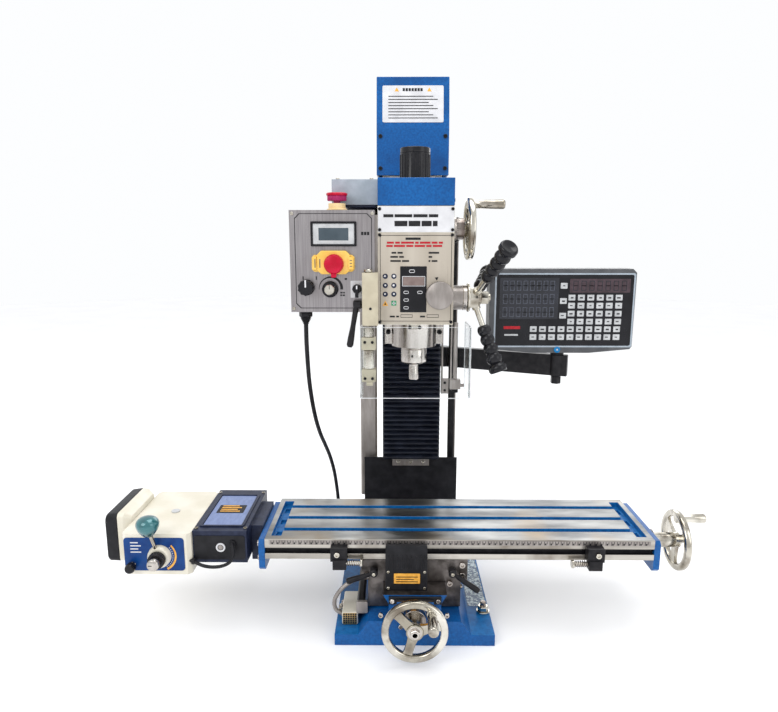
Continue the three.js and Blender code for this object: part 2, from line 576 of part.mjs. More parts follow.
function addGuard() {
  const { halfX, front, bottom, top, sheet } = GUARD;
  const back = front + sheet;
  const face = block(-halfX, halfX, front, back, bottom, top);
  const leftSide = block(-halfX, -halfX + sheet, front, -136, bottom, top);
  const rightSide = block(halfX - sheet, halfX, front, -92, bottom, top);
  const pin = bar('z', 4.5, 520, 658, [HINGE.x, HINGE.y], 16);
  const clasp = block(HINGE.x - 7, HINGE.x + 7, back - 1, HINGE.y + 5, 520, GUARD.top - 1);
  const rail = block(-halfX + 1, halfX - 1, back - 1, back + 4, top - 9, top - 1);
  piece('guard', join(face, leftSide, rightSide, pin, clasp, rail), CLEAR);
}

// ---------------------------------------------------------------- control box
function addControls() {
  const { left, right, front, back, bottom, top, wall } = BOX;
  const stop = { x: -137, y: -122 };
  const gland = CORD.exit;
  const shell = cut(
    block(left, right, front, back, bottom, top),
    block(left + wall, right - wall, front + wall, back - wall, bottom + wall, top - wall),
    bar('z', 6, bottom - 1, bottom + wall + 1, [gland[0], gland[1]], 20),
  );
  const stopBase = bar('z', 15, top - wall, top + 12, [stop.x, stop.y], 28);
  const seats = [[-189, 627], [-148, 624], [-101.5, 625]];
  const holes = seats.map(([x, z]) => bar('y', 4 + GAP, front - 1, front + wall + 1, [x, z], 16));
  const stopHole = bar('z', 6 + GAP, top - wall - 1, top + 13, [stop.x, stop.y], 16);
  piece('control_box', cut(join(shell, stopBase), ...holes, stopHole), BRUSHED);

  const button = join(
    bar('z', 6, top - 6, top + 17, [stop.x, stop.y], 16),
    turned([[0, 0], [17, 0], [18.5, 3], [18.5, 9], [15, 12], [0, 13]], 22)
      .translate(stop.x, stop.y, top + 17),
  );
  piece('estop_button', button, RED);

  const flap = join(
    prism('y', cutCorners(-179, -105, 652, 692, 6), front - 16, front - GAP),
    bar('y', 19, front - 28, front - 15, [-141, 668], 22),
  );
  piece('switch_flap', flap, YELLOW);

  const [selector, speed, coolant] = seats;
  const shaft = ([x, z]) => bar('y', 4, front - 6, front + 10, [x, z], 16);
  const disc = (seat, radius, from, to) => bar('y', radius, front - to, front - from, seat, 24);
  piece('selector_knob', join(shaft(selector), disc(selector, 14, GAP, 18)), BLACK);
  piece('speed_knob', join(shaft(speed), disc(speed, 14, GAP, 8), disc(speed, 9, 7, 20)), BLACK);
  piece('coolant_switch_knob', join(shaft(coolant), disc(coolant, 8, GAP, 16)), BLACK);

  const strain = join(
    bar('z', 5.6, bottom - 3, bottom + 8, [gland[0], gland[1]], 20),
    bar('z', 12, bottom - 13, bottom - GAP, [gland[0], gland[1]], 6),
    turned([[0, 0], [6.5, 0], [11, 12], [0, 12]], 20).translate(gland[0], gland[1], gland[2] + GAP),
  );
  piece('cord_gland', strain, BLACK);
}

// ---------------------------------------------------------------- readout
function addReadout() {
  const { x, y, halfX, bottom, top, depth } = READOUT;
  const half = depth / 2;
  const face = [
    [x - halfX + 5, bottom + 9], [x - 60, bottom + 1], [x + 60, bottom + 1], [x + halfX - 5, bottom + 9],
    [x + halfX - 1, bottom + 15], [x + halfX, top - 8], [x + halfX - 8, top], [x - halfX + 8, top],
    [x - halfX, top - 8], [x - halfX + 1, bottom + 15],
  ];
  const shell = prism('y', face, y - half, y + half);
  const post = bar('z', 8, 410, bottom + 12, [x, y]);
  const nut = bar('z', 11, 408, ARM.bottom - 2, [x, y], 6);
  const shoulder = bar('z', 12, ARM.top + GAP, bottom + 5, [x, y]);
  piece('readout', join(shell, post, nut, shoulder), GREY);

  const run = new THREE.Vector2(x - ARM.x, y - ARM.y);
  const beam = block(0, run.length(), -ARM.thick / 2, ARM.thick / 2, ARM.bottom, ARM.top);
  beam.rotateZ(run.angle()).translate(ARM.x, ARM.y, 0);
  const hub = bar('z', 12, ARM.bottom, ARM.top, [ARM.x, ARM.y]);
  const eye = bar('z', 14, ARM.bottom, ARM.top, [x, y]);
  const eyeBore = bar('z', 8 + GAP, ARM.bottom - 1, ARM.top + 1, [x, y]);
  piece('readout_arm', cut(join(beam, hub, eye), eyeBore), BLACK);
}

// ---------------------------------------------------------------- mains cord
// The stretch from the gland down past the table's back edge to the bench and round to the coil.
const CORD_ROUTE = [
  CORD.exit, [-196, -121, 530], [-195, -119, 490], [-194, -110, 450], [-192, -92, 408], [-190, -62, 366],
  [-187, -22, 324], [-183, 26, 284], [-178, 74, 240], [-173, 112, 190], [-169, 134, 135], [-166, 146, 82],
  [-162, 157, 40], [-158.5, 173, 14], [-157, 192, 4.8], [-156.5, 214, 4.6], [-156.5, 238, 4.6],
];

function addCord() {
  const route = CORD_ROUTE.map((p) => new THREE.Vector3(...p));
  const curve = new THREE.CatmullRomCurve3(route, false, 'centripetal');
  const circle = new THREE.Shape().absarc(0, 0, CORD.radius, 0, 2 * Math.PI);
  const section = new THREE.Shape(circle.getPoints(4).slice(0, -1));
  const tube = new THREE.ExtrudeGeometry(section, { steps: 56, extrudePath: curve });
  piece('cord_tube', indexed(tube), RUBBER);

  const { inner, outer, height } = COIL;
  const ring = turned([[inner, 0.6], [outer, 0.6], [outer, height], [inner, height], [inner, 0.6]], 22);
  piece('cord_coil', ring.translate(COIL.x, COIL.y, 0), RUBBER);

  const x = COIL.x - 49;
  const mouth = COIL.y - 41.6;
  const back = mouth - 16.4;
  const plug = join(
    block(x - 14, x + 14, back - 44, back, 0.6, 30),
    bar('y', 5, back - 1, mouth, [x, 15], 12),
    ...[-8, 8].map((side) => block(x + side - 2, x + side + 2, back - 63, back - 43, 8, 14)),
    block(x - 4, x + 4, back - 63, back - 43, 20, 24),
  );
  piece('mains_plug', plug, RUBBER);
}

addBase();
addColumn();
addBellows();
addSaddle();
addTable();
addFeed();
addScrews();
addHeadDrive();
addHead();
addSpindle();
addCapstan();
addGuard();
addControls();
addReadout();
addCord();

export default machine;
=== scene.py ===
"""The looks of a benchtop milling machine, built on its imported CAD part.

Shapes are written in millimetres in the row frame (+Z up, the operator stands at -Y) and every
Blender object is made in metres.
"""

import json
from contextlib import contextmanager
from math import acos, atan2, cos, degrees, pi, radians, sin
from functools import partial
from itertools import product

import bmesh
import bpy
from mathutils import Matrix, Vector


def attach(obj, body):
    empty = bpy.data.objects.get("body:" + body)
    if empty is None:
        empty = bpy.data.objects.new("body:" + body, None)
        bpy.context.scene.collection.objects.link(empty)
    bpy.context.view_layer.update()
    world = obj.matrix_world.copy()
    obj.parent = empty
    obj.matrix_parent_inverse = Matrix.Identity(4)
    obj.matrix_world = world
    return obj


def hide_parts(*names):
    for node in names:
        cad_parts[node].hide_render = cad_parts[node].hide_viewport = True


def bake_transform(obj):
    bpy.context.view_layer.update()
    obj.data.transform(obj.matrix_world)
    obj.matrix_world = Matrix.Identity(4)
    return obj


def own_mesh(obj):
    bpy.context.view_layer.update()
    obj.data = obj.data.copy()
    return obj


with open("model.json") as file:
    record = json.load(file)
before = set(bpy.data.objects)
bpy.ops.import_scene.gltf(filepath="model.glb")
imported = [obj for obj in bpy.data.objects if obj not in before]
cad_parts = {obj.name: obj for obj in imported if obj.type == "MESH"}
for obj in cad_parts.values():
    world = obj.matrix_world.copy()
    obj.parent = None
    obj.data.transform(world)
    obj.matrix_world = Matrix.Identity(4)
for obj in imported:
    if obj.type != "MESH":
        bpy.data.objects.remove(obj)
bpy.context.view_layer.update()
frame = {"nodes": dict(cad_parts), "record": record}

MM = 0.001
# Places that several pieces share: the table's centre line and front in Y, then the axes of the two
# table screws, the spindle, the motor and the capstan, each in X, Y, Z order without its own direction.
TABLE_MID, TABLE_FRONT = -106, -196
X_SCREW, Y_SCREW = (TABLE_MID, 137), (-2, 67)
SPINDLE, MOTOR, CAPSTAN = (0, -65), (-98, -20), (-100, 605)
BODY_OF = {n: b for b, nodes in frame["record"]["behaviour"]["bodies"].items() for n in nodes}

# ---------------------------------------------------------------- materials
LOOKS = {}
RELIEF_DEPTH = 0.0006


def look(name, slot, colour, second, rough, grain, bump, bump_grain=400.0, metal=0.0, stretch=(1, 1, 1),
        rough_span=0.12, coat=0.0, stain_and_reflection=None, stain_and_reflection_grain=6.0, cut=(0.35, 0.65), **sockets):
    """A procedural material: two colours mottled together, uneven roughness and a fine relief.

    grain and bump_grain are the scales of the mottling and of the relief, and bump is the relief's
    strength. stretch scales the pattern along X, Y and Z, so that a small number draws it out into
    lines. The third colour comes through in large soft patches: a real stain on most looks, and a
    painted dark reflection on the teal.
    """
    made = bpy.data.materials.new(name)
    made.use_nodes = True
    nodes, links = made.node_tree.nodes, made.node_tree.links
    shader = nodes["Principled BSDF"]
    place = nodes.new("ShaderNodeTexCoord").outputs["Object"]

    def noise(scale, detail, stretched=True):
        mapping = nodes.new("ShaderNodeMapping")
        mapping.inputs["Scale"].default_value = stretch if stretched else (1, 1, 1)
        texture = nodes.new("ShaderNodeTexNoise")
        texture.inputs["Scale"].default_value = scale
        texture.inputs["Detail"].default_value = detail
        links.new(place, mapping.inputs["Vector"])
        links.new(mapping.outputs["Vector"], texture.inputs["Vector"])
        return texture.outputs["Fac"]

    def ramp(value, stops):
        node = nodes.new("ShaderNodeValToRGB")
        for element, (position, shade) in zip(node.color_ramp.elements, stops):
            element.position, element.color = position, (*shade, 1)
        links.new(value, node.inputs["Fac"])
        return node.outputs["Color"]

    pattern = noise(grain, 5)
    tint = ramp(pattern, [(cut[0], colour), (cut[1], second)])
    if stain_and_reflection:
        mask = ramp(noise(stain_and_reflection_grain, 3, False), [(0.5, (0, 0, 0)), (0.75, (1, 1, 1))])
        mix = nodes.new("ShaderNodeMix")
        mix.data_type = "RGBA"
        links.new(mask, mix.inputs["Factor"])
        links.new(tint, mix.inputs["A"])
        mix.inputs["B"].default_value = (*stain_and_reflection, 1)
        tint = mix.outputs["Result"]
    links.new(tint, shader.inputs["Base Color"])

    span = nodes.new("ShaderNodeMapRange")
    span.inputs["To Min"].default_value = max(0.02, rough - rough_span / 2)
    span.inputs["To Max"].default_value = min(1.0, rough + rough_span / 2)
    links.new(noise(grain * 2.3, 3), span.inputs["Value"])
    links.new(span.outputs["Result"], shader.inputs["Roughness"])

    relief = nodes.new("ShaderNodeBump")
    relief.inputs["Strength"].default_value = bump
    relief.inputs["Distance"].default_value = RELIEF_DEPTH
    links.new(noise(bump_grain, 2), relief.inputs["Height"])
    links.new(relief.outputs["Normal"], shader.inputs["Normal"])
    shader.inputs["Metallic"].default_value = metal
    shader.inputs["Coat Weight"].default_value = coat
    for socket, value in sockets.items():
        shader.inputs[socket.replace("_", " ")].default_value = value
    made["slot"] = slot
    LOOKS[name] = made


DULL = {"Specular_IOR_Level": 0.22}  # for blacks and blues that would look grey under the soft light
look("blue", "blue_paint", (0.001, 0.07, 0.25), (0.003, 0.105, 0.35), 0.3, 260, 0.25, 330, coat=0.12,
    stain_and_reflection=(0.001, 0.045, 0.17), stain_and_reflection_grain=9, **DULL)
# A lighter blue: real paint in the table's slots and gutters, and painted top light on the base's
# upward-facing flange tops.
look("slot_paint_and_top_light_blue", "blue_paint", (0.003, 0.1, 0.3), (0.008, 0.15, 0.42), 0.4, 120, 0.15, **DULL)
# Dark blue with pale speckles: painted shade with painted specular glints, for the right-hand flange top.
look("speckled_blue", "blue_paint", (0.01, 0.07, 0.17), (0.5, 0.62, 0.66), 0.3, 210, 0.6, 260,
    cut=(0.47, 0.56))
look("slate_blue", "navy_paint", (0.13, 0.18, 0.36), (0.17, 0.23, 0.43), 0.3, 60, 0.2, 900,
    stretch=(3, 1, 1))
look("navy", "navy_paint", (0.01, 0.014, 0.034), (0.02, 0.027, 0.058), 0.36, 90, 0.2, 900, **DULL)
look("cream", "cream_paint", (0.66, 0.62, 0.51), (0.75, 0.71, 0.62), 0.34, 22, 0.1, 500, coat=0.2,
    stain_and_reflection=(0.6, 0.54, 0.42))
look("white_plate", "cream_paint", (0.58, 0.58, 0.6), (0.68, 0.68, 0.7), 0.36, 50, 0.05)
look("beige_plate", "cream_paint", (0.42, 0.37, 0.305), (0.5, 0.45, 0.38), 0.3, 30, 0.05, metal=0.2,
    stretch=(1, 1, 0.1))
look("tan", "cream_paint", (0.42, 0.375, 0.275), (0.53, 0.48, 0.36), 0.36, 40, 0.1, stain_and_reflection=(0.36, 0.3, 0.2))
look("grey", "grey_paint", (0.3, 0.35, 0.4), (0.38, 0.43, 0.49), 0.42, 60, 0.2, 600)
look("galvanised", "grey_paint", (0.24, 0.215, 0.2), (0.36, 0.33, 0.31), 0.35, 70, 0.08, metal=0.65,
    stretch=(1, 1, 0.25))
look("readout_case", "grey_paint", (0.05, 0.053, 0.06), (0.08, 0.083, 0.09), 0.42, 40, 0.3, 1300)
look("ground", "ground_steel", (0.3, 0.28, 0.25), (0.56, 0.53, 0.48), 0.3, 60, 0.12, 900, metal=1.0,
    stretch=(0.04, 1, 1), stain_and_reflection=(0.2, 0.17, 0.14), stain_and_reflection_grain=14)
look("table_top", "ground_steel", (0.14, 0.145, 0.15), (0.42, 0.42, 0.41), 0.34, 20, 0.25, 400, metal=1.0,
    stretch=(0.3, 1, 1), rough_span=0.25, stain_and_reflection=(0.3, 0.24, 0.17), stain_and_reflection_grain=8)
look("oily_iron", "ground_steel", (0.06, 0.052, 0.048), (0.19, 0.17, 0.16), 0.34, 45, 0.4, 300, metal=0.85,
    stain_and_reflection=(0.03, 0.028, 0.03), stain_and_reflection_grain=20)
look("brushed", "brushed_panel", (0.27, 0.25, 0.26), (0.36, 0.34, 0.345), 0.3, 420, 0.06, 900, metal=0.9,
    stretch=(1, 1, 0.03), rough_span=0.15, stain_and_reflection=(0.23, 0.205, 0.205), stain_and_reflection_grain=9)
# chrome: the light and dark mottling is painted reflection.
look("chrome", "bright_steel", (0.36, 0.33, 0.27), (0.74, 0.71, 0.64), 0.15, 18, 0.02, 260, metal=1.0,
    rough_span=0.12, stain_and_reflection=(0.16, 0.13, 0.1), stain_and_reflection_grain=34)
# turned_steel: the dark and light streaks drawn out along Z are painted reflections.
look("turned_steel", "bright_steel", (0.16, 0.13, 0.115), (0.62, 0.58, 0.54), 0.22, 34, 0.02, 900,
    metal=1.0, stretch=(1, 1, 0.05), cut=(0.34, 0.62))
look("bronze", "bronze", (0.42, 0.27, 0.1), (0.6, 0.42, 0.2), 0.34, 50, 0.1, metal=1.0)
look("black_plastic", "black_plastic", (0.006, 0.006, 0.008), (0.014, 0.014, 0.017), 0.42, 60, 0.2, 1200,
    **DULL)
look("gloss_black", "black_plastic", (0.003, 0.003, 0.005), (0.009, 0.009, 0.012), 0.2, 30, 0.03,
    Specular_IOR_Level=0.3)
look("black_steel", "black_steel", (0.006, 0.006, 0.008), (0.018, 0.017, 0.019), 0.34, 70, 0.15, 500,
    metal=0.2, **DULL)
look("rubber", "black_rubber", (0.005, 0.005, 0.007), (0.014, 0.014, 0.017), 0.5, 50, 0.3, 600, **DULL)
look("bellows_cloth", "black_rubber", (0.004, 0.005, 0.01), (0.014, 0.017, 0.028), 0.36, 35, 0.25, 1500,
    stretch=(1, 1, 2), **DULL)
look("yellow", "yellow_plastic", (0.76, 0.46, 0.08), (0.86, 0.58, 0.16), 0.32, 40, 0.08, **DULL)
look("pale_yellow", "yellow_plastic", (0.78, 0.56, 0.26), (0.86, 0.66, 0.36), 0.36, 40, 0.06)
look("red", "red_plastic", (0.4, 0.002, 0.02), (0.52, 0.004, 0.035), 0.26, 40, 0.06, **DULL)
look("crimson", "red_plastic", (0.3, 0.012, 0.09), (0.42, 0.025, 0.13), 0.34, 40, 0.08, **DULL)
# teal: the near-black patches on the ball are a painted dark reflection.
look("teal", "teal_plastic", (0.012, 0.1, 0.115), (0.04, 0.19, 0.21), 0.12, 14, 0.03, metal=0.3, coat=0.7,
    stain_and_reflection=(0.02, 0.022, 0.03), stain_and_reflection_grain=22)
look("panel_blue", "blue_paint", (0.002, 0.032, 0.16), (0.004, 0.05, 0.21), 0.32, 60, 0.04, **DULL)
look("brown_slot", "ground_steel", (0.12, 0.1, 0.09), (0.25, 0.2, 0.17), 0.42, 90, 0.2, metal=0.7)
# Black marks: printing, and painted shade where the marks stand for holes and vent slots.
look("ink", "black_plastic", (0.01, 0.01, 0.012), (0.02, 0.02, 0.022), 0.5, 200, 0.02, **DULL)
look("cool_ink", "blue_paint", (0.005, 0.14, 0.36), (0.01, 0.2, 0.46), 0.45, 200, 0.02, **DULL)
look("green_ink", "teal_plastic", (0.02, 0.22, 0.1), (0.03, 0.3, 0.14), 0.45, 200, 0.02)
look("amber_ink", "yellow_plastic", (0.7, 0.32, 0.03), (0.85, 0.44, 0.07), 0.45, 200, 0.02)
look("red_ink", "red_plastic", (0.36, 0.01, 0.02), (0.46, 0.02, 0.03), 0.45, 200, 0.02, **DULL)
look("key_grey", "grey_paint", (0.42, 0.43, 0.44), (0.54, 0.55, 0.56), 0.4, 80, 0.04)
look("lcd", "black_plastic", (0.022, 0.04, 0.055), (0.05, 0.075, 0.095), 0.12, 18, 0.01, coat=0.2)
look("smoked_glass", "black_plastic", (0.008, 0.009, 0.014), (0.018, 0.02, 0.03), 0.14, 18, 0.01)
look("window_glass", "black_plastic", (0.16, 0.11, 0.1), (0.3, 0.23, 0.21), 0.16, 30, 0.01, coat=0.3)
look("dim_digit", "black_plastic", (0.05, 0.055, 0.08), (0.08, 0.09, 0.12), 0.3, 90, 0.01)
look("dim_red", "black_plastic", (0.03, 0.014, 0.02), (0.055, 0.03, 0.04), 0.3, 90, 0.01)
look("clear", "clear_plastic", (0.96, 0.98, 0.985), (0.98, 0.995, 1.0), 0.02, 12, 0.002, 15,
    rough_span=0.02, Transmission_Weight=1.0, IOR=1.03)
look("guard_edge", "clear_plastic", (0.6, 0.6, 0.6), (0.78, 0.79, 0.8), 0.2, 80, 0.02)
look("pale_floor", None, (0.83, 0.83, 0.84), (0.86, 0.86, 0.87), 0.6, 3, 0.02, Emission_Color=(1, 1, 1, 1),
    Emission_Strength=0.13)

# ---------------------------------------------------------------- shapes
# A shape is a pair: a list of points in millimetres and a list of faces.
AXIS = {"x": Matrix(((0, 0, 1), (1, 0, 0), (0, 1, 0))), "y": Matrix(((0, 1, 0), (0, 0, 1), (1, 0, 0))),
    "z": Matrix.Identity(3),}


def along(axis, points, centre):
    """Points made about local +Z, turned to lie along an axis and moved to a centre.

    A centre of two numbers, in X, Y, Z order, leaves out the one along the axis.
    """
    place = list(centre)
    if len(place) == 2:
        place.insert("xyz".index(axis), 0)
    return [AXIS[axis] @ Vector(p) + Vector(place) for p in points]


def box(x0, x1, y0, y1, z0, z1):
    points = [Vector((x, y, z)) for z in (z0, z1) for x, y in ((x0, y0), (x1, y0), (x1, y1), (x0, y1))]
    return points, [(0, 3, 2, 1), (4, 5, 6, 7), (0, 1, 5, 4), (1, 2, 6, 5), (2, 3, 7, 6), (3, 0, 4, 7)]


def turned(axis, profile, centre, sides=64):
    """A closed profile of (distance along the axis, radius) pairs turned about the axis."""
    points, faces, rings = [], [], []
    for height, radius in profile:
        if radius < 1e-6:
            rings.append([len(points)])
            points.append((0, 0, height))
            continue
        rings.append(list(range(len(points), len(points) + sides)))
        for i in range(sides):
            turn = 2 * pi * i / sides
            points.append((radius * cos(turn), radius * sin(turn), height))
    for low, high in zip(rings, rings[1:]):
        for i in range(sides):
            j = (i + 1) % sides
            corners = [low[i % len(low)], low[j % len(low)], high[j % len(high)], high[i % len(high)]]
            faces.append(tuple(dict.fromkeys(corners)))
    if len(rings[0]) > 1 and profile[0] != profile[-1]:
        faces.append(tuple(reversed(rings[0])))
        faces.append(tuple(rings[-1]))
    return along(axis, points, centre), [f for f in faces if len(f) > 2]


def bar(axis, radius, start, end, centre, sides=48, chamfer=0.0):
    """A round bar with chamfered ends."""
    c = min(chamfer, radius / 2, (end - start) / 2.5)
    profile = [(start, radius - c), (start + c, radius), (end - c, radius), (end, radius - c)]
    return turned(axis, profile if c else [(start, radius), (end, radius)], centre, sides)


def loft(rings):
    """A closed shape through rings that all have the same number of points."""
    n = len(rings[0])
    points = [Vector(p) for ring in rings for p in ring]
    faces = [(i * n + k, i * n + (k + 1) % n, (i + 1) * n + (k + 1) % n, (i + 1) * n + k)
        for i in range(len(rings) - 1) for k in range(n)]
    return points, [*faces, tuple(reversed(range(n))), tuple(range(len(points) - n, len(points)))]


def at(axis, u, v, w):
    """A point from its two outline coordinates and its place along the axis."""
    return {"x": (w, u, v), "y": (u, w, v), "z": (u, v, w)}[axis]


def prism(axis, outline, start, end):
    """An outline pushed along an axis: (y, z) along x, (x, z) along y and (x, y) along z."""
    return loft([[at(axis, u, v, w) for u, v in outline] for w in (start, end)])


def plate(face, thick, *edges):
    """A plate with rounded corners standing out from a face that looks to the front."""
    return prism("y", rounded(*edges), face - thick, face)


def frame_ring(axis, outer, inner, start, end):
    """A flat ring between two outlines that have the same number of points."""
    n = len(outer)
    points = [Vector(at(axis, u, v, w)) for w in (start, end) for u, v in (*outer, *inner)]
    faces = []
    for k in range(n):
        j = (k + 1) % n
        faces += [(k, j, 2 * n + j, 2 * n + k), (n + k, n + j, 3 * n + j, 3 * n + k), (k, j, n + j, n + k),
            (2 * n + k, 2 * n + j, 3 * n + j, 3 * n + k)]
    return points, faces


def arc(u, v, radius, start, end, steps):
    """Points along an arc between two angles in degrees."""
    turns = [radians(start + (end - start) * k / steps) for k in range(steps + 1)]
    return [(u + radius * cos(t), v + radius * sin(t)) for t in turns]


def cut_corners(u0, u1, v0, v1, c):
    """The outline of a rectangle with cut corners."""
    return [(u0 + c, v0), (u1 - c, v0), (u1, v0 + c), (u1, v1 - c), (u1 - c, v1), (u0 + c, v1),
        (u0, v1 - c), (u0, v0 + c)]


def rounded(u0, u1, v0, v1, r, steps=5):
    """The outline of a rectangle with rounded corners."""
    corners = [(u1 - r, v0 + r, -90), (u1 - r, v1 - r, 0), (u0 + r, v1 - r, 90), (u0 + r, v0 + r, 180)]
    return [point for u, v, a in corners for point in arc(u, v, r, a, a + 90, steps)]


def strut(start, end, radius, sides=24, profile=None):
    """A round bar between two points. profile gives (share of the length, radius) pairs instead."""
    start, end = Vector(start), Vector(end)
    length = (end - start).length
    profile = profile or [(0, radius), (1, radius)]
    points, faces = turned("z", [(f * length, r) for f, r in profile], (0, 0, 0), sides)
    turn = (end - start).to_track_quat("Z", "Y")
    return [turn @ p + start for p in points], faces


def smooth_line(points, steps=6):
    """Points along a smooth centripetal curve through the given ones."""
    route = [Vector(p) for p in points]
    route = [2 * route[0] - route[1], *route, 2 * route[-1] - route[-2]]
    line = []
    for a, b, c, d in zip(route, route[1:], route[2:], route[3:]):
        t1 = (b - a).length ** 0.5
        t2 = t1 + (c - b).length ** 0.5
        t3 = t2 + (d - c).length ** 0.5
        for k in range(steps):
            t = t1 + (t2 - t1) * k / steps
            ab, bc = a.lerp(b, t / t1), b.lerp(c, (t - t1) / (t2 - t1))
            cd = c.lerp(d, (t - t2) / (t3 - t2))
            line.append(ab.lerp(bc, t / t2).lerp(bc.lerp(cd, (t - t1) / (t3 - t1)), (t - t1) / (t2 - t1)))
    return [*line, route[-2]]


def tube(line, radius, sides=12, ridges=0.0):
    """A round tube along a line of points; ridges makes every other ring that much smaller."""
    rings = []
    side = (line[1] - line[0]).orthogonal().normalized()
    for i, p in enumerate(line):
        ahead = (line[min(i + 1, len(line) - 1)] - line[max(i - 1, 0)]).normalized()
        side = (side - ahead * side.dot(ahead)).normalized()
        other = ahead.cross(side)
        r = radius - ridges * (i % 2)
        turns = [2 * pi * k / sides for k in range(sides)]
        rings.append([p + r * (cos(t) * side + sin(t) * other) for t in turns])
    return loft(rings)


def knurled(axis, radius, start, end, centre, teeth=60, depth=0.6, chamfer=1.0):
    """A round knob with fine teeth around its edge."""
    rings = []
    for height, shrink in ((start, chamfer), (start + chamfer, 0), (end - chamfer, 0), (end, chamfer)):
        turns = [pi * k / teeth for k in range(2 * teeth)]
        radii = [radius - shrink - depth * (k % 2) for k in range(2 * teeth)]
        rings.append(along(axis, [(r * cos(t), r * sin(t), height) for r, t in zip(radii, turns)], centre))
    return loft(rings)


def screw(axis, radius, face, centre, out=-1, head=None):
    """A socket-head screw standing on a face."""
    h = head or radius
    profile = [(0, 0), (0, radius), (h - 0.5, radius), (h, radius - 0.5), (h, radius * 0.55),
        (h * 0.4, radius * 0.5), (h * 0.4, 0)]
    return turned(axis, [(face + out * d, r) for d, r in profile], centre, 18)


def screws(axis, radius, face, head, us, vs, out=-1):
    """Screws on a face at every pair of the two other coordinates."""
    return [screw(axis, radius, face, centre, out, head) for centre in product(us, vs)]


def hex_nut(axis, radius, start, end, centre):
    return bar(axis, radius, start, end, centre, 6, 0.9)


def thread(axis, radius, start, end, centre, pitch=4, sides=20):
    """A leadscrew's threaded length, drawn as evenly spaced ridges."""
    profile = [(start, radius - 1)]
    for k in range(int((end - start) / pitch)):
        z = start + k * pitch
        profile += [(z + 0.6, radius - 1.3), (z + 1.4, radius), (z + 2.6, radius), (z + 3.4, radius - 1.3)]
    return turned(axis, [*profile, (end, radius - 1)], centre, sides)


def words(z, height, x, lengths, gap=2.2):
    """A row of plain marks where printed words would stand, on a face that looks to the front."""
    marks = []
    for length in lengths:
        marks.append(box(x, x + length, -0.4, 0, z, z + height))
        x += length + gap
    return marks


def crescent(x, z, radius, start, end, width, end_width, steps=28):
    """The outline of an arc that grows in width from one end to the other."""
    outer, inner = [], []
    for k in range(steps + 1):
        turn = radians(start + (end - start) * k / steps)
        reach = radius - width - (end_width - width) * k / steps
        outer.append((x + radius * cos(turn), z + radius * sin(turn)))
        inner.append((x + reach * cos(turn), z + reach * sin(turn)))
    return [*outer, *reversed(inner)]


def moved(shape, matrix):
    """A shape carried by a 4x4 matrix in millimetres."""
    return [matrix @ p for p in shape[0]], shape[1]


def new_object(name, data):
    made = bpy.data.objects.new(name, data)
    bpy.context.collection.objects.link(made)
    return made


@contextmanager
def editing(mesh, reach):
    """The mesh's bmesh, with points closer than `reach` metres joined, written back afterwards."""
    fresh = bmesh.new()
    fresh.from_mesh(mesh)
    bmesh.ops.remove_doubles(fresh, verts=fresh.verts, dist=reach)
    yield fresh
    fresh.to_mesh(mesh)
    fresh.free()


def shading(mesh, angle):
    mesh.shade_smooth()
    mesh.set_sharp_from_angle(angle=radians(angle))


def soften(obj, width):
    if width:
        bevel = obj.modifiers.new("edges", "BEVEL")
        bevel.width, bevel.segments = width * MM, 2
        bevel.limit_method, bevel.angle_limit = "ANGLE", radians(32)
        bevel.harden_normals = True


def piece(body, name, finish, *shapes, edge=0.0, node=None, angle=35, place=Matrix()):
    """One mesh made of shapes, riding on a body, with its edges softened by `edge` millimetres.

    node names the CAD node it stands for, and place is a matrix that carries all the shapes.
    """
    points, faces = [], []
    for shape_points, shape_faces in shapes:
        faces += [tuple(i + len(points) for i in face) for face in shape_faces]
        points += [place @ p * MM for p in shape_points]
    mesh = bpy.data.meshes.new(name)
    mesh.from_pydata(points, [], faces)
    with editing(mesh, 2e-6) as fresh:
        bmesh.ops.recalc_face_normals(fresh, faces=fresh.faces)
    shading(mesh, angle)
    mesh.materials.append(LOOKS[finish])
    obj = new_object(name, mesh)
    soften(obj, edge)
    if body:
        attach(obj, body)
    if node:
        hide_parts(node)
    return obj


def facing(y, make=piece):
    """A maker of pieces whose shapes are measured from a plane at y that looks to the front."""
    return partial(make, place=Matrix.Translation((0, y, 0)))


on_root, on_head, on_table, on_saddle, on_readout = (partial(piece, body)
    for body in ("root", "head", "table", "saddle", "readout"))


def refine(node, finish, edge=1.0, others=()):
    """A softened copy of a CAD node, standing for it. others lists (look, test of a face) pairs."""
    obj = new_object(f"{node}_surface", frame["nodes"][node].data.copy())
    mesh = obj.data
    with editing(mesh, 1e-5) as fresh:
        bmesh.ops.dissolve_limit(fresh, angle_limit=radians(1), verts=fresh.verts, edges=fresh.edges)
    mesh.materials.clear()
    for name in (finish, *(name for name, _ in others)):
        mesh.materials.append(LOOKS[name])
    for face in mesh.polygons:
        face.material_index = 0
        for index, (_, test) in enumerate(others, 1):
            if test(face.center / MM, face.normal):
                face.material_index = index
    shading(mesh, 30)
    soften(obj, edge)
    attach(obj, BODY_OF[node])
    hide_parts(node)
    return obj


# ---------------------------------------------------------------- camera, light and floor
CAMERA_PLACE, CAMERA_LENS = (-0.0362, -1.2430, 0.7096), 29.08
CAMERA_DOWN, CAMERA_LEFT = radians(10.552), radians(0.532)


def add_camera():
    data = bpy.data.cameras.new("camera")
    data.sensor_width, data.lens = 36, CAMERA_LENS
    data.clip_start, data.clip_end = 0.05, 60
    camera = new_object("camera", data)
    camera.location = CAMERA_PLACE
    camera.rotation_euler = (pi / 2 - CAMERA_DOWN, 0, CAMERA_LEFT)
    bpy.context.scene.camera = camera


def add_lamp(name, place, aim, width, height, power):
    data = bpy.data.lights.new(name, "AREA")
    data.shape, data.size, data.size_y, data.energy = "RECTANGLE", width, height, power
    lamp = new_object(name, data)
    lamp.location = place
    lamp.rotation_euler = (Vector(aim) - Vector(place)).to_track_quat("-Z", "Y").to_euler()


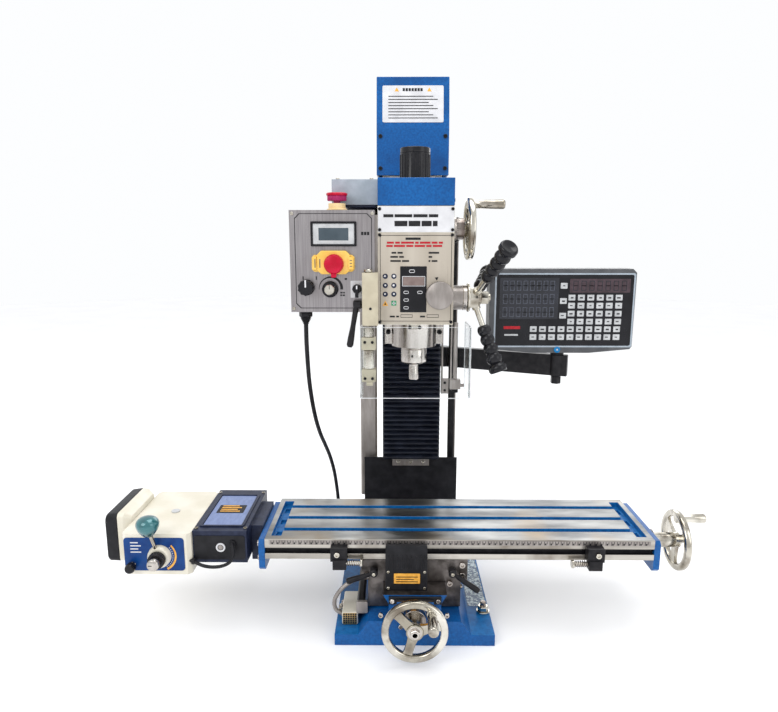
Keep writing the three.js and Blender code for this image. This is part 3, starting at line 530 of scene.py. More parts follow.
def add_studio():
    add_lamp("key_light", (-1.5, -1.9, 2.1), (0, 0, 0.45), 1.6, 1.6, 26)
    add_lamp("fill_light", (2.0, -1.5, 1.3), (0, 0, 0.4), 1.2, 1.8, 9)
    add_lamp("top_light", (0.2, 0.1, 2.5), (0, -0.1, 0.3), 1.8, 1.2, 22)
    add_lamp("back_light", (0.6, 2.3, 1.5), (0, 0, 0.6), 2.0, 1.2, 12)
    world = bpy.data.worlds.new("studio")
    world.use_nodes = True
    sky = world.node_tree.nodes["Background"].inputs
    sky["Color"].default_value, sky["Strength"].default_value = (0.98, 0.99, 1, 1), 1.0
    bpy.context.scene.world = world
    bpy.context.scene.view_settings.view_transform = "Standard"
    floor = piece(None, "floor", "pale_floor", turned("z", [(-8, 7000), (0, 7000)], (0, 0, 0), 96))


add_camera()
add_studio()

# ---------------------------------------------------------------- mains cord
CORD_RADIUS = 4
CORD_ROUTE = [(-196, -121, 559), (-196, -121, 530), (-195, -119, 490), (-194, -110, 450), (-192, -92, 408),
    (-190, -62, 366), (-187, -22, 324), (-183, 26, 284), (-178, 74, 240), (-173, 112, 190),
    (-169, 134, 135), (-166, 146, 82), (-162, 157, 40), (-158.5, 173, 14), (-157, 192, 4.8),
    (-156.5, 214, 4.6), (-156.5, 238, 4.6)]
COIL = {"x": -215, "y": 240, "outer": 54, "top": 28}
# Turn in degrees, radius and height at each change: two turns on the bench, then up, round and out.
COIL_PLAN = [(0, 58.5, 4.6), (120, 49.5, 4.6), (360, 49.5, 4.6), (480, 40.5, 4.6), (720, 40.5, 4.6),
    (780, 40.5, 13.2), (1020, 40.5, 13.2), (1080, 49.5, 13.2), (1360, 49.5, 13.2), (1400, 49.5, 21.8),
    (1620, 49.5, 21.8)]


def coil_points():
    points = []
    for (a, r0, z0), (b, r1, z1) in zip(COIL_PLAN, COIL_PLAN[1:]):
        steps = round((b - a) / 12)
        for k in range(steps):
            share = k / steps
            ease = share * share * (3 - 2 * share)
            turn = radians(a + (b - a) * share)
            radius, height = r0 + (r1 - r0) * ease, z0 + (z1 - z0) * ease
            points.append((COIL["x"] + radius * cos(turn), COIL["y"] + radius * sin(turn), height))
    return points[1:]


def add_cord():
    x = COIL["x"] - 49
    mouth = COIL["y"] - 41.6
    tail = [(COIL["x"] - 49.5, COIL["y"], 21.8), (COIL["x"] - 49.5, COIL["y"] - 17, 21.4),
        (x, COIL["y"] - 32, 17.5), (x, mouth, 15)]
    line = [*smooth_line(CORD_ROUTE, 4), *(Vector(p) for p in coil_points()), *smooth_line(tail, 4)]
    cord = piece(None, "mains_cord", "rubber", tube(line, CORD_RADIUS, 16))
    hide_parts("cord_tube", "cord_coil")
    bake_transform(cord)

    inner, outer, top = COIL["outer"] - 19, COIL["outer"] + 0.4, COIL["top"] - 1
    y0, x0 = COIL["y"], COIL["x"]
    tie = on_root("cord_tie", "gloss_black", *(box(x0 - 3, x0 + 3, y0 + a, y0 + b, c, d)
        for a, b, c, d in ((inner, outer, 0.2, 1), (inner, outer, top - 1, top),
        (inner, inner + 0.9, 0.2, top), (outer - 0.9, outer, 0.2, top))),
        box(x0 - 5, x0 + 5, y0 + inner + 4, y0 + inner + 11, top - 1, top + 3), edge=0.3)

    back = mouth - 16.4
    plug = on_root("cord_plug", "rubber", prism("y", rounded(x - 14, x + 14, 0.6, 30, 6), back - 30, back),
        plate(back - 29.5, 14.5, x - 13, x + 13, 2, 28.5, 6),
        turned("y", [(back - 2, 9)] + [(back + 1 + 3 * k + s, (8.2 - 0.5 * k) - 1.1 * (s > 1.2))
        for k in range(5) for s in (0, 1.2, 1.6, 2.9)] + [(mouth, 5.2)], (x, 0, 15), 24), edge=1.0,
        node="mains_plug")
    pins = on_root("cord_plug_pins", "bronze", *(box(x + s - 2, x + s + 2, back - 63, back - 43, 8, 14)
        for s in (-8, 8)), box(x - 4, x + 4, back - 63, back - 43, 20, 24), edge=0.6)

    gx, gy, gz = CORD_ROUTE[0]
    bottom = 584
    relief = [(gz + 0.4, 0), (gz + 0.4, 5)]
    relief += [(gz + 0.8 + 2.4 * k + s, 5.4 + 1.1 * k - 0.9 * (s > 0.9)) for k in range(5)
        for s in (0, 0.9, 1.3, 2.3)]
    gland = on_head("gland", "black_plastic", turned("z", [*relief, (gz + 13.5, 10.8)], (gx, gy, 0), 40),
        bar("z", 12, bottom - 11.5, bottom - 4, (gx, gy), 6, 0.8),
        bar("z", 13, bottom - 4, bottom - 0.3, (gx, gy), 6, 0.8),
        bar("z", 5.6, bottom - 5, bottom + 8, (gx, gy), 24), edge=0.4, node="cord_gland")


add_cord()


# ---------------------------------------------------------------- base and column
def add_base():
    refine("base_casting", "blue", 1.6, others=(
        ("oily_iron", lambda c, n: c.z > 80.5 and abs(c.x) < 57 and c.y < 109),
        # painted shade and glints on the right-hand flange tops; the next test takes these faces over
        ("speckled_blue", lambda c, n: n.z > 0.9 and c.z < 22 and c.x > 0),
        # painted top light: upward-facing flange tops take the lighter blue
        ("slot_paint_and_top_light_blue", lambda c, n: n.z > 0.9 and c.z < 22)))
    studs, nuts = [], []
    for x in (-130, 130):
        for y in (-168, 168):
            studs.append(bar("z", 5.5, 4, 42, (x, y), 24, 1))
            nuts += [hex_nut("z", 10.5, 25, 34, (x, y)), bar("z", 12.5, 21.3, 24.7, (x, y), 28, 0.5)]
    on_root("hold_down_studs", "turned_steel", *studs)
    on_root("hold_down_nuts", "chrome", *nuts, edge=0.4)
    on_root("way_end_cap", "black_plastic", box(-46, 46, -245, -240.1, 82.5, 96.5), edge=1.2)
    on_root("way_end_bar", "black_steel", box(-34, 34, -247.5, -244.9, 85, 93), edge=1)
    on_root("way_screws", "turned_steel", *screws("y", 4, -245, 2.5, (-40, 40), (89.5,)),
        *screws("y", 4.5, -240, 4, (-60, 56), (60,)),
        *(screw("y", 4, -252, (x, z), head=4) for x, z in ((-25, 46), (25, 46), (-25, 85), (25, 85))))
    # A thin slab on the right-hand flange top: painted shade with painted glints.
    on_root("flange_wet_patch", "speckled_blue",
        prism("z", [(104, -150), (139, -150), (139, 120), (104, 120)], 20.5, 21.3))
    refine("y_leadscrew", "turned_steel", 0)
    on_root("y_screw_thread", "turned_steel", thread("y", 8.1, -236, 92, Y_SCREW))

    scale = cut_corners(-104, -90, 46, 66, 3)
    on_root("y_scale", "black_steel", prism("y", scale, -205, 106), edge=0.6)
    on_root("y_scale_ends", "galvanised", prism("y", cut_corners(-105, -84, 44, 67, 2), -212, -205),
        box(-100, -82, 104, 111.5, 40, 67), edge=0.8)
    refine("vented_box", "cream", 2.5)
    front = -212
    # Each vent hole is a dark disc on the plate: painted shade.
    holes = [bar("y", 1.7, front - 1.1, front - 0.4, (-127 + 4.2 * i, 26 + 4.2 * j), 10) for i in range(6)
        for j in range(5)]
    on_root("vent_plate", "bronze", plate(front, 0.8, -129.5, -104, 22.5, 45, 1.5), edge=0.3)
    on_root("vent_holes", "ink", *holes)


def pleated(x0, x1, bottom, top, pleats, valley, crest, back):
    """The concertina: rings across X, each one a zigzag of soft folds."""
    pitch = (top - bottom) / pleats
    rings = []
    for share in (0, 0.012, 0.03, 0.1, 0.25, 0.4, 0.5, 0.6, 0.75, 0.9, 0.97, 0.988, 1):
        edge = min(share, 1 - share)
        tuck = 3.5 * max(0, 1 - edge / 0.03)
        ring = []
        for k in range(pleats):
            sag = 0.35 * sin(5.1 * share + 1.7 * k) + 0.2 * sin(13 * share + 0.9 * k)
            z = bottom + k * pitch
            for lift, y in ((0, valley), (0.22, (valley + crest) / 2), (0.42, crest + 0.4), (0.55, crest),
                    (0.68, crest + 0.5), (0.85, (valley + crest) / 2 + 0.6)):
                droop = sag if 0.2 < lift < 0.8 and 0 < k < pleats - 1 else 0
                ring.append((x0 + (x1 - x0) * share, y + tuck * (0.15 < lift < 0.9),
                    z + lift * pitch - droop))
        ring += [(x0 + (x1 - x0) * share, valley, top), (x0 + (x1 - x0) * share, back, top),
            (x0 + (x1 - x0) * share, back, bottom)]
        rings.append(ring)
    return loft(rings)


def add_column():
    refine("column", "cream", 1.5, others=(("ground",
        lambda c, n: c.y < 124.5 and abs(c.x) < 48 and c.z > 229),))
    refine("z_leadscrew", "turned_steel", 0)
    on_root("z_screw_thread", "turned_steel", thread("z", 9.1, 145, 888, (0, 130), sides=16))
    refine("column_cover", "blue", 2.0)
    slope = Matrix.Translation((0, 96, 930)) @ Matrix.Rotation(-atan2(16, 103), 4, "X")
    on_root("cover_label", "white_plate", plate(0.2, 1.2, -62, 62, 12, 86, 3), place=slope, edge=0.4)
    lines = [box(-50, 50 - 9 * (i % 3), -1.3, -0.9, 20 + 6.2 * i, 21.6 + 6.2 * i) for i in range(8)]
    on_root("cover_label_lines", "ink", *lines, place=slope)
    heading = [box(x, x + 4.4, -1.3, -0.9, 74.5, 80.5) for x in range(-21, 20, 6)]
    on_root("cover_label_heading", "ink", *heading, place=slope)
    signs = [prism("y", [(x - 4.5, 74), (x + 4.5, 74), (x, 82)], -1.3, -0.9) for x in (-33, 33)]
    on_root("cover_label_signs", "amber_ink", *signs, place=slope)
    on_root("cover_screws", "black_steel", *screws("y", 4, 96, 3, (-66, 66), (852, 915)),
        *screws("y", 4, 240, 3, (-62, 62), (856, 940, 1018), out=1))
    refine("cable_trunking", "galvanised", 1.5)

    bellows = piece(None, "bellows_folds", "bellows_cloth", pleated(-62, 62, 230, 560.4, 31, 84, 76.2, 98),
        angle=70, node="bellows")
    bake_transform(bellows)
    on_root("bellows_strip", "galvanised", box(-41, 41, 99.5, 106, 209, 229), edge=1)
    on_root("bellows_screws", "chrome", *screws("y", 4, 99.5, 3, (-28, 0, 28), (219,)))

    rows = 14
    flap = []
    for i in range(rows):
        z = 118 + 108 * i / (rows - 1)
        wave = [(-104 + 208 * k / 24, 0.7 * sin(0.8 * k + 0.35 * i) * (1 - i / rows)) for k in range(25)]
        flap.append([(x, 108 + w, z) for x, w in wave] + [(x, 109.8 + w, z) for x, w in reversed(wave)])
    on_root("way_flap_sheet", "rubber", loft(flap), angle=60, node="way_flap")

    on_root("z_scale", "black_steel", prism("z", cut_corners(84, 98, 128, 142, 2), 130, 720), edge=0.5)
    on_root("z_scale_lip", "galvanised", prism("z", cut_corners(98, 101, 130, 140, 0.8), 130, 720))
    on_root("z_scale_bracket", "galvanised", *(box(61.5, 99, 142, 147, z, z + 22) for z in (150, 690)),
        edge=1)
    on_head("z_reader", "galvanised", box(66.3, 70, 112, 126, 372, 640),
        box(66.3, 83, 113.5, 127.4, 372, 405), edge=1)
    on_head("z_reader_screws", "black_steel", *screws("y", 3, 113.5, 2, (74.5,), (380, 397)))
    on_head("z_reader_head", "black_steel", box(83.4, 104, 113, 127.4, 374, 403), edge=1.5)


# ---------------------------------------------------------------- saddle
def add_saddle():
    refine("saddle", "oily_iron", 1.2, others=(("ground", lambda c, n: c.z > 141.2),))
    refine("screw_nut_block", "bronze", 0.8)
    on_saddle("saddle_screws", "turned_steel", *(screw("y", 5.5, TABLE_FRONT, (x, z), head=5)
        for x, z in ((64, 96), (-86, 112), (86, 112), (86, 132))),
        *screws("x", 4, 84, 6, (-170, -106, -42), (74,), out=1))
    on_saddle("saddle_gib_nuts", "bronze", *(bar("x", 5.5, 84, 87, (y, 74), 6) for y in (-170, -106, -42)))

    refine("limit_switch_box", "black_plastic", 2.2)
    on_saddle("switch_box_ribs", "black_plastic",
        *(box(x, x + 3, -226.8, -200, 139, 164) for x in range(-48, 20, 8)), edge=0.8)
    on_saddle("switch_box_label", "amber_ink", prism("y", rounded(-37, 9, 112, 131, 1.5), -226.7, -225.8))
    on_saddle("switch_box_label_lines", "ink", *(
        box(-33, 5 - 7 * (i % 2), -227, -226.5, 115 + 4.5 * i, 116.3 + 4.5 * i) for i in range(3)))
    on_saddle("switch_box_screws", "chrome", *screws("y", 2.6, -226, 2, (-47, 17), (103, 134)))

    for name, pivot, tip in (("left", (-73, 121), (-122, 108)), ("right", (68, 121), (115, 90))):
        (x, z), (tip_x, tip_z) = pivot, tip
        grip = [(0, 3.4), (0.14, 3.2), (0.2, 4.2), (0.55, 5), (0.9, 5.6), (0.98, 4.8), (1, 3)]
        piece(f"x_lock_{name}", f"table_lock_{name}", "black_steel",
            bar("y", 7.2, -212, -199, (x, z), 32, 1.2), bar("y", 4.5, -200, -196.4, (x, z), 24),
            strut((x, -208, z), (tip_x, -214, tip_z), 4, profile=grip), angle=40, node=f"x_lock_{name}")
        piece(f"x_lock_{name}", f"table_lock_{name}_screw", "chrome", screw("y", 3.2, -212, (x, z), head=2))


# ---------------------------------------------------------------- table
def add_table():
    half_slot = 10.2

    def in_slot(c, n):
        return 164 < c.z < 179.6 and -257 < c.x < 417 and any(abs(c.y - TABLE_MID - s) < half_slot
            for s in (-50, 0, 50))

    def in_gutter(c, n):
        return 169 < c.z < 179.6 and -183 < c.y < -29 and (c.x < -240 or c.x > 400)

    refine("table", "ground", 0.9, others=(("black_steel",
        lambda c, n: c.y < -187 and 152 < c.z < 163 and abs(n.x) < 0.5 and c.y > -195.9),
        ("slot_paint_and_top_light_blue", in_slot), ("slot_paint_and_top_light_blue", in_gutter), ("table_top", lambda c, n: c.z > 179.5)))
    for side in ("left", "right"):
        refine(f"table_bracket_{side}", "blue", 2.2)
    on_table("bracket_screws", "turned_steel", *(screw("x", 5.5, x, (y, z), out=out, head=5)
        for x, out in ((-281.9, -1), (441.9, 1)) for y in (-176, -36) for z in (135, 162)))
    front = TABLE_FRONT
    on_table("table_scale", "galvanised", box(-262, 422, front - 0.7, front + 0.1, 169.5, 178))
    on_table("table_scale_marks", "ink", *(box(x - 0.45, x + 0.45, front - 1, front - 0.6,
        178 - (5.5 if k % 2 else 7.5), 177.6) for k, x in enumerate(range(-258, 422, 5))),
        *(box(x + 1.2, x + 3.6, front - 1, front - 0.6, 170.6, 174) for x in range(-258, 418, 10)))
    refine("x_leadscrew", "turned_steel", 0)
    piece("x_screw", "x_screw_thread", "turned_steel", thread("x", 9.1, -268, 428, X_SCREW, sides=16))
    for side, x, way in (("left", -150, 1), ("right", 336, -1)):
        add_stop(side, x, way)


def coil_spring(axis_start, axis_end, y, z, radius, wire, turns):
    line = []
    for k in range(turns * 12 + 1):
        turn = 2 * pi * k / 12
        x = axis_start + (axis_end - axis_start) * k / (turns * 12)
        line.append(Vector((x, y + radius * cos(turn), z + radius * sin(turn))))
    return tube(line, wire, 6)


def add_stop(side, outer, way):
    """A travel stop on the table's front, with a sprung plunger pointing along `way`."""
    refine(f"stop_{side}", "black_steel", 1.4)
    piece(f"stop_{side}", f"stop_{side}_screw", "chrome",
        screw("y", 5, -214, (outer + 12 * way, 160), head=4))
    y, z = -208, 141
    span = sorted((outer + 52.5 * way, outer + 57.5 * way))
    rod = sorted((outer + 5 * way, outer + 56 * way))
    piece(f"plunger_{side}", f"stop_{side}_plunger", "chrome", bar("x", 7.5, *span, (y, z), 32, 1),
        bar("x", 3.5, *rod, (y, z), 20, 0.5), node=f"plunger_{side}")
    start, end = outer + 28.5 * way, outer + 52 * way
    spring = piece(f"stop_{side}", f"stop_{side}_spring", "turned_steel",
        coil_spring(start, end, y, z, 5.2, 0.8, 6))
    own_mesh(spring)


add_base()
add_column()
add_saddle()
add_table()


# ---------------------------------------------------------------- handwheels
def towards_right(x, y, z):
    """A wheel's frame: its axle along +X and its local Y pointing up."""
    return Matrix(((0, 0, 1, x), (1, 0, 0, y), (0, 1, 0, z), (0, 0, 0, 1)))


def towards_front(x, y, z):
    """A wheel's frame: its axle along -Y and its local Y pointing up."""
    return Matrix(((1, 0, 0, x), (0, 0, -1, y), (0, 1, 0, z), (0, 0, 0, 1)))


def add_handwheel(name, body, grip_body, place, radius, reach, grip_length, swing=0.0, spoke_turn=pi):
    """A chromed three-spoke handwheel with a graduated collar and a revolving grip."""
    turn = place @ Matrix.Rotation(swing, 4, "Z")
    section = [(h, r) for h, r in rounded(reach - 6.5, reach + 6.5, radius - 13, radius, 4.6, 4)]
    rim = turned("z", [*section, section[0]], (0, 0, 0), 96)
    hub = turned("z", [(20, 14), (reach - 4, 14), (reach + 2, 15.5), (reach + 5.5, 14), (reach + 6, 9),
        (20, 9)], (0, 0, 0), 48) if reach > 32 else bar("z", 15, 1, reach + 5.5, (0, 0), 48, 1.5)
    spokes = []
    for k in range(3):
        blade = loft([[(-w, y, reach - t), (w, y, reach - t), (w, y, reach + t * 0.7),
            (-w, y, reach + t * 0.7)] for w, y, t in ((9.5, 9, 5), (8, 20, 4), (7.5, radius - 20, 3.6),
            (9, radius - 9, 3.8))])
        spokes.append(moved(blade, Matrix.Rotation(spoke_turn + k * 2 * pi / 3, 4, "Z")))
    lug = bar("z", 9, reach - 5, reach + 7.5, (0, 44), 32, 1.2)
    piece(body, f"{name}_rim", "chrome", rim, hub, lug, *spokes, edge=0.9, node=f"{name}_handwheel",
        angle=40, place=turn)

    collar_end = min(20, reach - 10.5)
    collar = [knurled("z", 21, 0.4, 4, (0, 0), 60, 0.5, 0.3),
        bar("z", 20.4, 4, collar_end, (0, 0), 64, 0.6)]
    piece(body, f"{name}_collar", "turned_steel", *collar, place=turn)
    marks = []
    for k in range(40):
        length = 5.5 if k % 5 == 0 else 3.2
        mark = box(-0.22, 0.22, 20.3, 20.75, 4.6, 4.6 + length)
        marks.append(moved(mark, Matrix.Rotation(2 * pi * k / 40, 4, "Z")))
    piece(body, f"{name}_collar_marks", "ink", *marks, place=turn)
    end = [hex_nut("z", 8.6, reach + 5, reach + 11, (0, 0)),
        bar("z", 5, reach + 10.5, reach + 12, (0, 0), 24, 0.8),
        bar("z", 12, reach + 4.8, reach + 5.9, (0, 0), 36, 0.3)]
    piece(body, f"{name}_nut", "turned_steel", *end, edge=0.3, place=turn)

    start = reach + 7.9
    grip = [(0, 3.2), (0, 6.4), (0.03, 7.6), (0.5, 8.3), (0.92, 8.9), (0.97, 8.4), (1, 7), (1, 0)]
    profile = [(start - 13, 0), (start - 13, 3.2), *((start + f * grip_length, r) for f, r in grip)]
    piece(grip_body, f"{name}_revolving_grip", "chrome", turned("z", profile, (0, 44), 40), angle=50,
        place=turn, node=f"{name}_wheel_grip")


def add_wheels():
    add_handwheel("x", "x_screw", "x_wheel_grip", towards_right(441.9, *X_SCREW), 57.5, 67, 44)
    add_handwheel("y", "y_screw", "y_wheel_grip", towards_front(-2, -252, 67), 56, 46, 48, -0.68, pi + 0.4)
    add_handwheel("z", "z_handwheel", "z_wheel_grip", towards_right(72, -60, 728), 57, 29, 56)


# ---------------------------------------------------------------- power feed
def add_feed():
    refine("feed_housing", "cream", 6)
    sections = [(-569.6, 119, 208, 12), (-566, 117, 210, 10), (-547.5, 117, 212, 8)]
    cap = [[(x, u, v) for u, v in rounded(-166, -34, low, high, r, 4)] for x, low, high, r in sections]
    neck = [[(x, u, v) for u, v in rounded(-166 + d, -34 - d, 117 + d, 212 - d, 8, 4)]
        for x, d in ((-547.3, 0), (-536, 1), (-524.4, 9))]
    on_table("feed_cap_shell", "black_plastic", loft(cap), edge=1.5, node="feed_end_cap")
    on_table("feed_cap_neck", "cream", loft(neck), edge=1)
    refine("feed_adapter", "navy", 5)
    on_table("feed_cap_ribs", "black_plastic", *(box(-571.5, -569.6, y, y + 5, 130, 198)
        for y in range(-152, -50, 12)), edge=0.6)
    top = 193
    deck = rounded(-393, -311, -176, -30, 4)
    on_table("feed_deck_frame", "navy", frame_ring("z", deck, rounded(-388, -316, -171, -35, 3), top,
        top + 2.5), edge=0.8)
    on_table("feed_deck_plate", "slate_blue", prism("z", rounded(-387, -317, -170, -36, 3), top - 0.2,
        top + 0.7))
    on_table("feed_deck_label", "ink", prism("z", rounded(-378, -326, -118, -82, 2), top, top + 1))
    on_table("feed_deck_label_lines", "amber_ink",
        *(box(-372, -334 - 6 * (k % 2), -112 + 8 * k, -108.5 + 8 * k, top + 0.9, top + 1.3)
        for k in range(4)))
    on_table("feed_deck_screws", "chrome", *screws("z", 3.6, top, 2.5, (-396, -307), (-182, -20), out=1))
    on_table("feed_filler_plug", "key_grey", turned("z",
        [(top, 8), (top + 2, 8), (top + 3, 5), (top + 3, 0)], (-458, -110, 0), 32), edge=0.4)

    ring = [(-194.4, 5.6), (-194.4, 8.4), (-193, 8.4), (-193, 5.6), (-194.4, 5.6)]
    on_table("feed_ready_ring", "white_plate", turned("y", ring, (-350, 0, 162), 40))
    on_table("feed_ready_lamp", "galvanised", bar("y", 4.6, -194, -192, (-350, 162), 32, 0.6))
    on_table("feed_socket_plate", "black_plastic",
        prism("y", rounded(-398, -306, 138, 184, 5), -193, -191.6))

    route = [(-328, -190, 170), (-328, -198, 170), (-325, -204, 163), (-325, -207, 152),
        (-331, -208.5, 141), (-345, -209, 134), (-362, -208, 131.5), (-378, -206, 132.5),
        (-391, -203, 136), (-401, -200, 139), (-412, -198, 141)]
    add_held_cable("feed_cable", route, 3, "table", "black_plastic")
    on_table("feed_cable_glands", "black_plastic", bar("y", 6, -197, -191, (-328, 170), 8, 0.8),
        bar("x", 6, -401.2, -395, (-200.2, 138.6), 8, 0.8), edge=0.3)


def add_feed_controls():
    put, on_front = facing(-205), facing(-205, on_table)
    x, z = -456, 152
    panel = rounded(-520, -412, 123, 186, 6)
    on_front("feed_panel", "panel_blue", prism("y", panel, -1.2, 0.4), edge=0.4)
    on_front("feed_panel_marks", "white_plate",
        *(box(-508, -489 - 5 * (k % 2), -1.5, -1.1, 158 + 6 * k, 160 + 6 * k) for k in range(4)))
    on_front("feed_speed_scale", "amber_ink", prism("y", crescent(x, z, 30, 44, -64, 2.6, 4), -1.7, -1.1))
    on_front("feed_speed_marks", "white_plate",
        *(bar("y", 0.9, -1.6, -1.1, p, 8) for p in arc(x, z, 23.6, 40, -60, 10)))
    ring = [(-0.4, 0), (-0.4, 21), (-9, 20), (-12, 17.5), (-12, 0)]
    put("feed_lever", "feed_lever_boss", "cream", turned("y", ring, (x, 0, z), 56), angle=40)
    put("feed_lever", "feed_lever_arm", "chrome", strut((-460, -7, 166), (-466, -16, 205), 3.6),
        strut((-465.6, -15, 197), (-466, -16, 203), 5))
    ball = [(-19, 0), (-19, 5), (-16.5, 8.6), (-12, 12.6), (-6, 16.8), (0, 19.4), (6, 20), (11, 18.4),
        (15, 14.6), (17.4, 9.5), (18.6, 4), (18.8, 0)]
    put("feed_lever", "feed_lever_ball", "teal",
        turned("z", [(216 + h, r) for h, r in ball], (-467, -18, 0), 56), angle=80, node="feed_lever")
    put("feed_speed_dial", "feed_dial_skirt", "gloss_black",
        knurled("y", 15, -24, -12.4, (x, z), 30, 0.7, 1), bar("y", 6, -13, 20, (x, z)),
        node="feed_speed_dial")
    put("feed_speed_dial", "feed_dial_knob", "turned_steel",
        knurled("y", 10.5, -38, -24, (x, z), 40, 0.4, 1.2), angle=50)
    put("feed_speed_dial", "feed_dial_mark", "ink", box(x - 7.5, x - 1, -38.4, -37.8, z - 0.6, z + 0.6))
    kx, kz = -506, 134
    put("feed_rapid_knob", "feed_rapid_cap", "gloss_black",
        turned("y", [(-7, 0), (-7, 8.6), (-16, 9), (-19, 7.5), (-19.5, 0)], (kx, 0, kz), 40),
        bar("y", 4, -8, 11, (kx, kz)), angle=50, node="feed_rapid_knob")
    on_front("feed_rapid_collar", "turned_steel", bar("y", 7, -4, -0.2, (kx, kz), 6, 0.6))


def add_held_cable(name, route, radius, body, finish, ridges=0.0, blend=None):
    """A cable whose two ends are held by the machine."""
    line = smooth_line(route, 6 if not ridges else 14)
    cable = piece(None if blend else body, name, finish, tube(line, radius, 16, ridges), angle=70)
    if blend:
        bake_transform(cable)


add_wheels()
add_feed()
add_feed_controls()


# ---------------------------------------------------------------- head
def add_head_front():
    refine("head_casting", "cream", 1.6, others=(("turned_steel", lambda c, n: c.z < 560.6 and c.x > -60),
        ("galvanised", lambda c, n: c.x > 66.5 and c.y < 0),
        ("tan", lambda c, n: c.x < -64.8 and c.y < -129.5),
        ("galvanised", lambda c, n: c.z < 742 and c.y > 71)))
    on_front = facing(-144.2, on_head)
    on_front("name_plate", "white_plate", plate(1.2, 1.2, -65.5, 65.5, 721, 764, 1.5), edge=0.3)
    on_front("rating_plate", "beige_plate", plate(1.2, 1.2, -65.5, 65.5, 562.5, 719.6, 1.5), edge=0.3)
    line = [rounded(-62 + d, 62 - d, 567 + d, 716 - d, 3) for d in (0, 0.9)]
    on_front("rating_plate_border", "ink", frame_ring("y", *line, -0.2, 0))
    on_front("plate_screws", "black_steel", *screws("y", 2.8, 0, 1.8, (-62.5, 62.5),
        (725, 760, 565.8, 716.5)))
    on_front("name_plate_rows", "ink", *words(746, 5, -56, (17, 30, 24, 16)),
        *words(731, 9, -37, (22, 20, 17, 8)))
    rows = [(684.6, -42, (8, 9)), (684.6, 22, (18,)), (677.6, -44, (13, 8)), (677.6, 22, (6,)),
        (670.6, -44, (18, 12)), (670.6, 22, (3, 10)), (574, -45, (9, 5)), (574, 8, (9,))]
    on_front("rating_plate_rows", "ink", *words(708, 4, -18, (26,)),
        *(mark for z, x, lengths in rows for mark in words(z, 3, x, lengths)))
    on_front("rating_plate_notice", "red_ink", *words(701.6, 3.4, -50, (12, 8, 22, 6, 18, 10, 7)),
        *words(696, 3.4, -51, (11, 19, 12, 18, 9, 16)))
    on_front("rating_plate_boxes", "ink", *(frame_ring("y", rounded(x, x + 21, 573.6, 579.2, 0.5),
        rounded(x + 0.7, x + 20.3, 574.5, 578.3, 0.4), -0.2, 0) for x in (-26, 20)))
    on_front("pointer_mark", "ink", prism("y", [(33, 643.5), (39.5, 644.5), (37, 638.5)], -0.3, 0))


def add_notices():
    on_front = facing(-144.2, on_head)
    icons = [(x, z) for x in (-52.9, -37.9) for z in (645.8, 629.9, 614.7)]
    on_front("notice_discs", "navy", *(bar("y", 4.6, -0.3, 0, i, 32) for i in icons))
    on_front("notice_disc_marks", "white_plate",
        *(bar("y", 2.4 - 0.3 * (k % 3), -0.6, -0.2, (x - 0.5 + 0.6 * (k % 2), z + 0.4), 3 + k)
        for k, (x, z) in enumerate(icons)))
    on_front("notice_triangle", "amber_ink", prism("y", [(-58, 594.4), (-47.8, 594.4), (-52.9, 603.4)],
        -0.3, 0))
    on_front("notice_triangle_mark", "ink", prism("y", [(-54.6, 596), (-51.4, 596), (-52.9, 600.6)], -0.6,
        -0.2))
    on_front("notice_square", "green_ink", plate(0, 0.3, -42.3, -33.5, 594.6, 603.4, 1))
    on_front("notice_square_mark", "white_plate", box(-38.8, -37, -0.6, -0.2, 596, 602),
        box(-40.9, -34.9, -0.6, -0.2, 598.1, 599.9))

    on_front("display_panel", "gloss_black", plate(0, 0.5, -27, 19, 583, 663, 1))
    on_front("display_window", "window_glass", plate(-0.4, 0.5, -22, 15, 630, 644.6, 0.6))
    rings = [(-23.4, 16.4, 628.6, 646, 1), (-11.5, -1.5, 651.8, 657.6, 2.6), (-21, -12, 615.4, 620.6, 2.4),
        (3, 12, 615.4, 620.6, 2.4), (-21, -12, 602, 607.2, 2.4), (-21, -12, 588.4, 593.6, 2.4)]
    on_front("display_outlines", "white_plate",
        *(frame_ring("y", rounded(a, b, c, d, r), rounded(a + 0.9, b - 0.9, c + 0.9, d - 0.9,
        max(r - 0.9, 0.3)), -1, -0.4) for a, b, c, d, r in rings))


def add_quill_front():
    put = facing(-145.6)
    put("fine_feed_knob", "fine_feed_disc", "galvanised",
        knurled("y", 24, -21.8, -4, (41, 614), 90, 0.45, 1.1), angle=50, node="fine_feed_knob")
    put("fine_feed_knob", "fine_feed_stem", "turned_steel", bar("y", 6, -5, 22.6, (41, 614)),
        bar("y", 10, -5, 0, (41, 614), 40, 0.5))
    # The hole in the hinge block is a dark disc: painted shade.
    on_head("hinge_block_hole", "ink", bar("y", 2.4, -172.3, -171.8, (-78, 592), 20))
    for side in (-1, 1):
        on_head(f"quill_cheek_screw_{side + 2}", "black_steel",
            screw("y", 4.6, -66, (48.4 * side, 537), head=3.5))
    on_head("quill_clamp", "chrome", box(-9, 9, -112, -104, 548, 560.6), edge=1)
    on_head("quill_clamp_screws", "black_steel", *screws("y", 3.4, -112, 2.5, (-9, 9), (552,)))
    on_head("capstan_boss_band", "turned_steel", bar("x", 22.8, 86, 93.8, CAPSTAN, 56, 0.8))
    refine("z_nut", "bronze", 0.6)


def belt_loop(near, near_radius, far, far_radius, steps=20):
    """The outline of a belt around two pulleys."""
    across = Vector(far) - Vector(near)
    ahead = degrees(atan2(across.y, across.x))
    lean = degrees(acos((near_radius - far_radius) / across.length))
    return [*arc(*near, near_radius, ahead + lean, ahead + 360 - lean, steps),
        *arc(*far, far_radius, ahead - lean, ahead + lean, steps)]


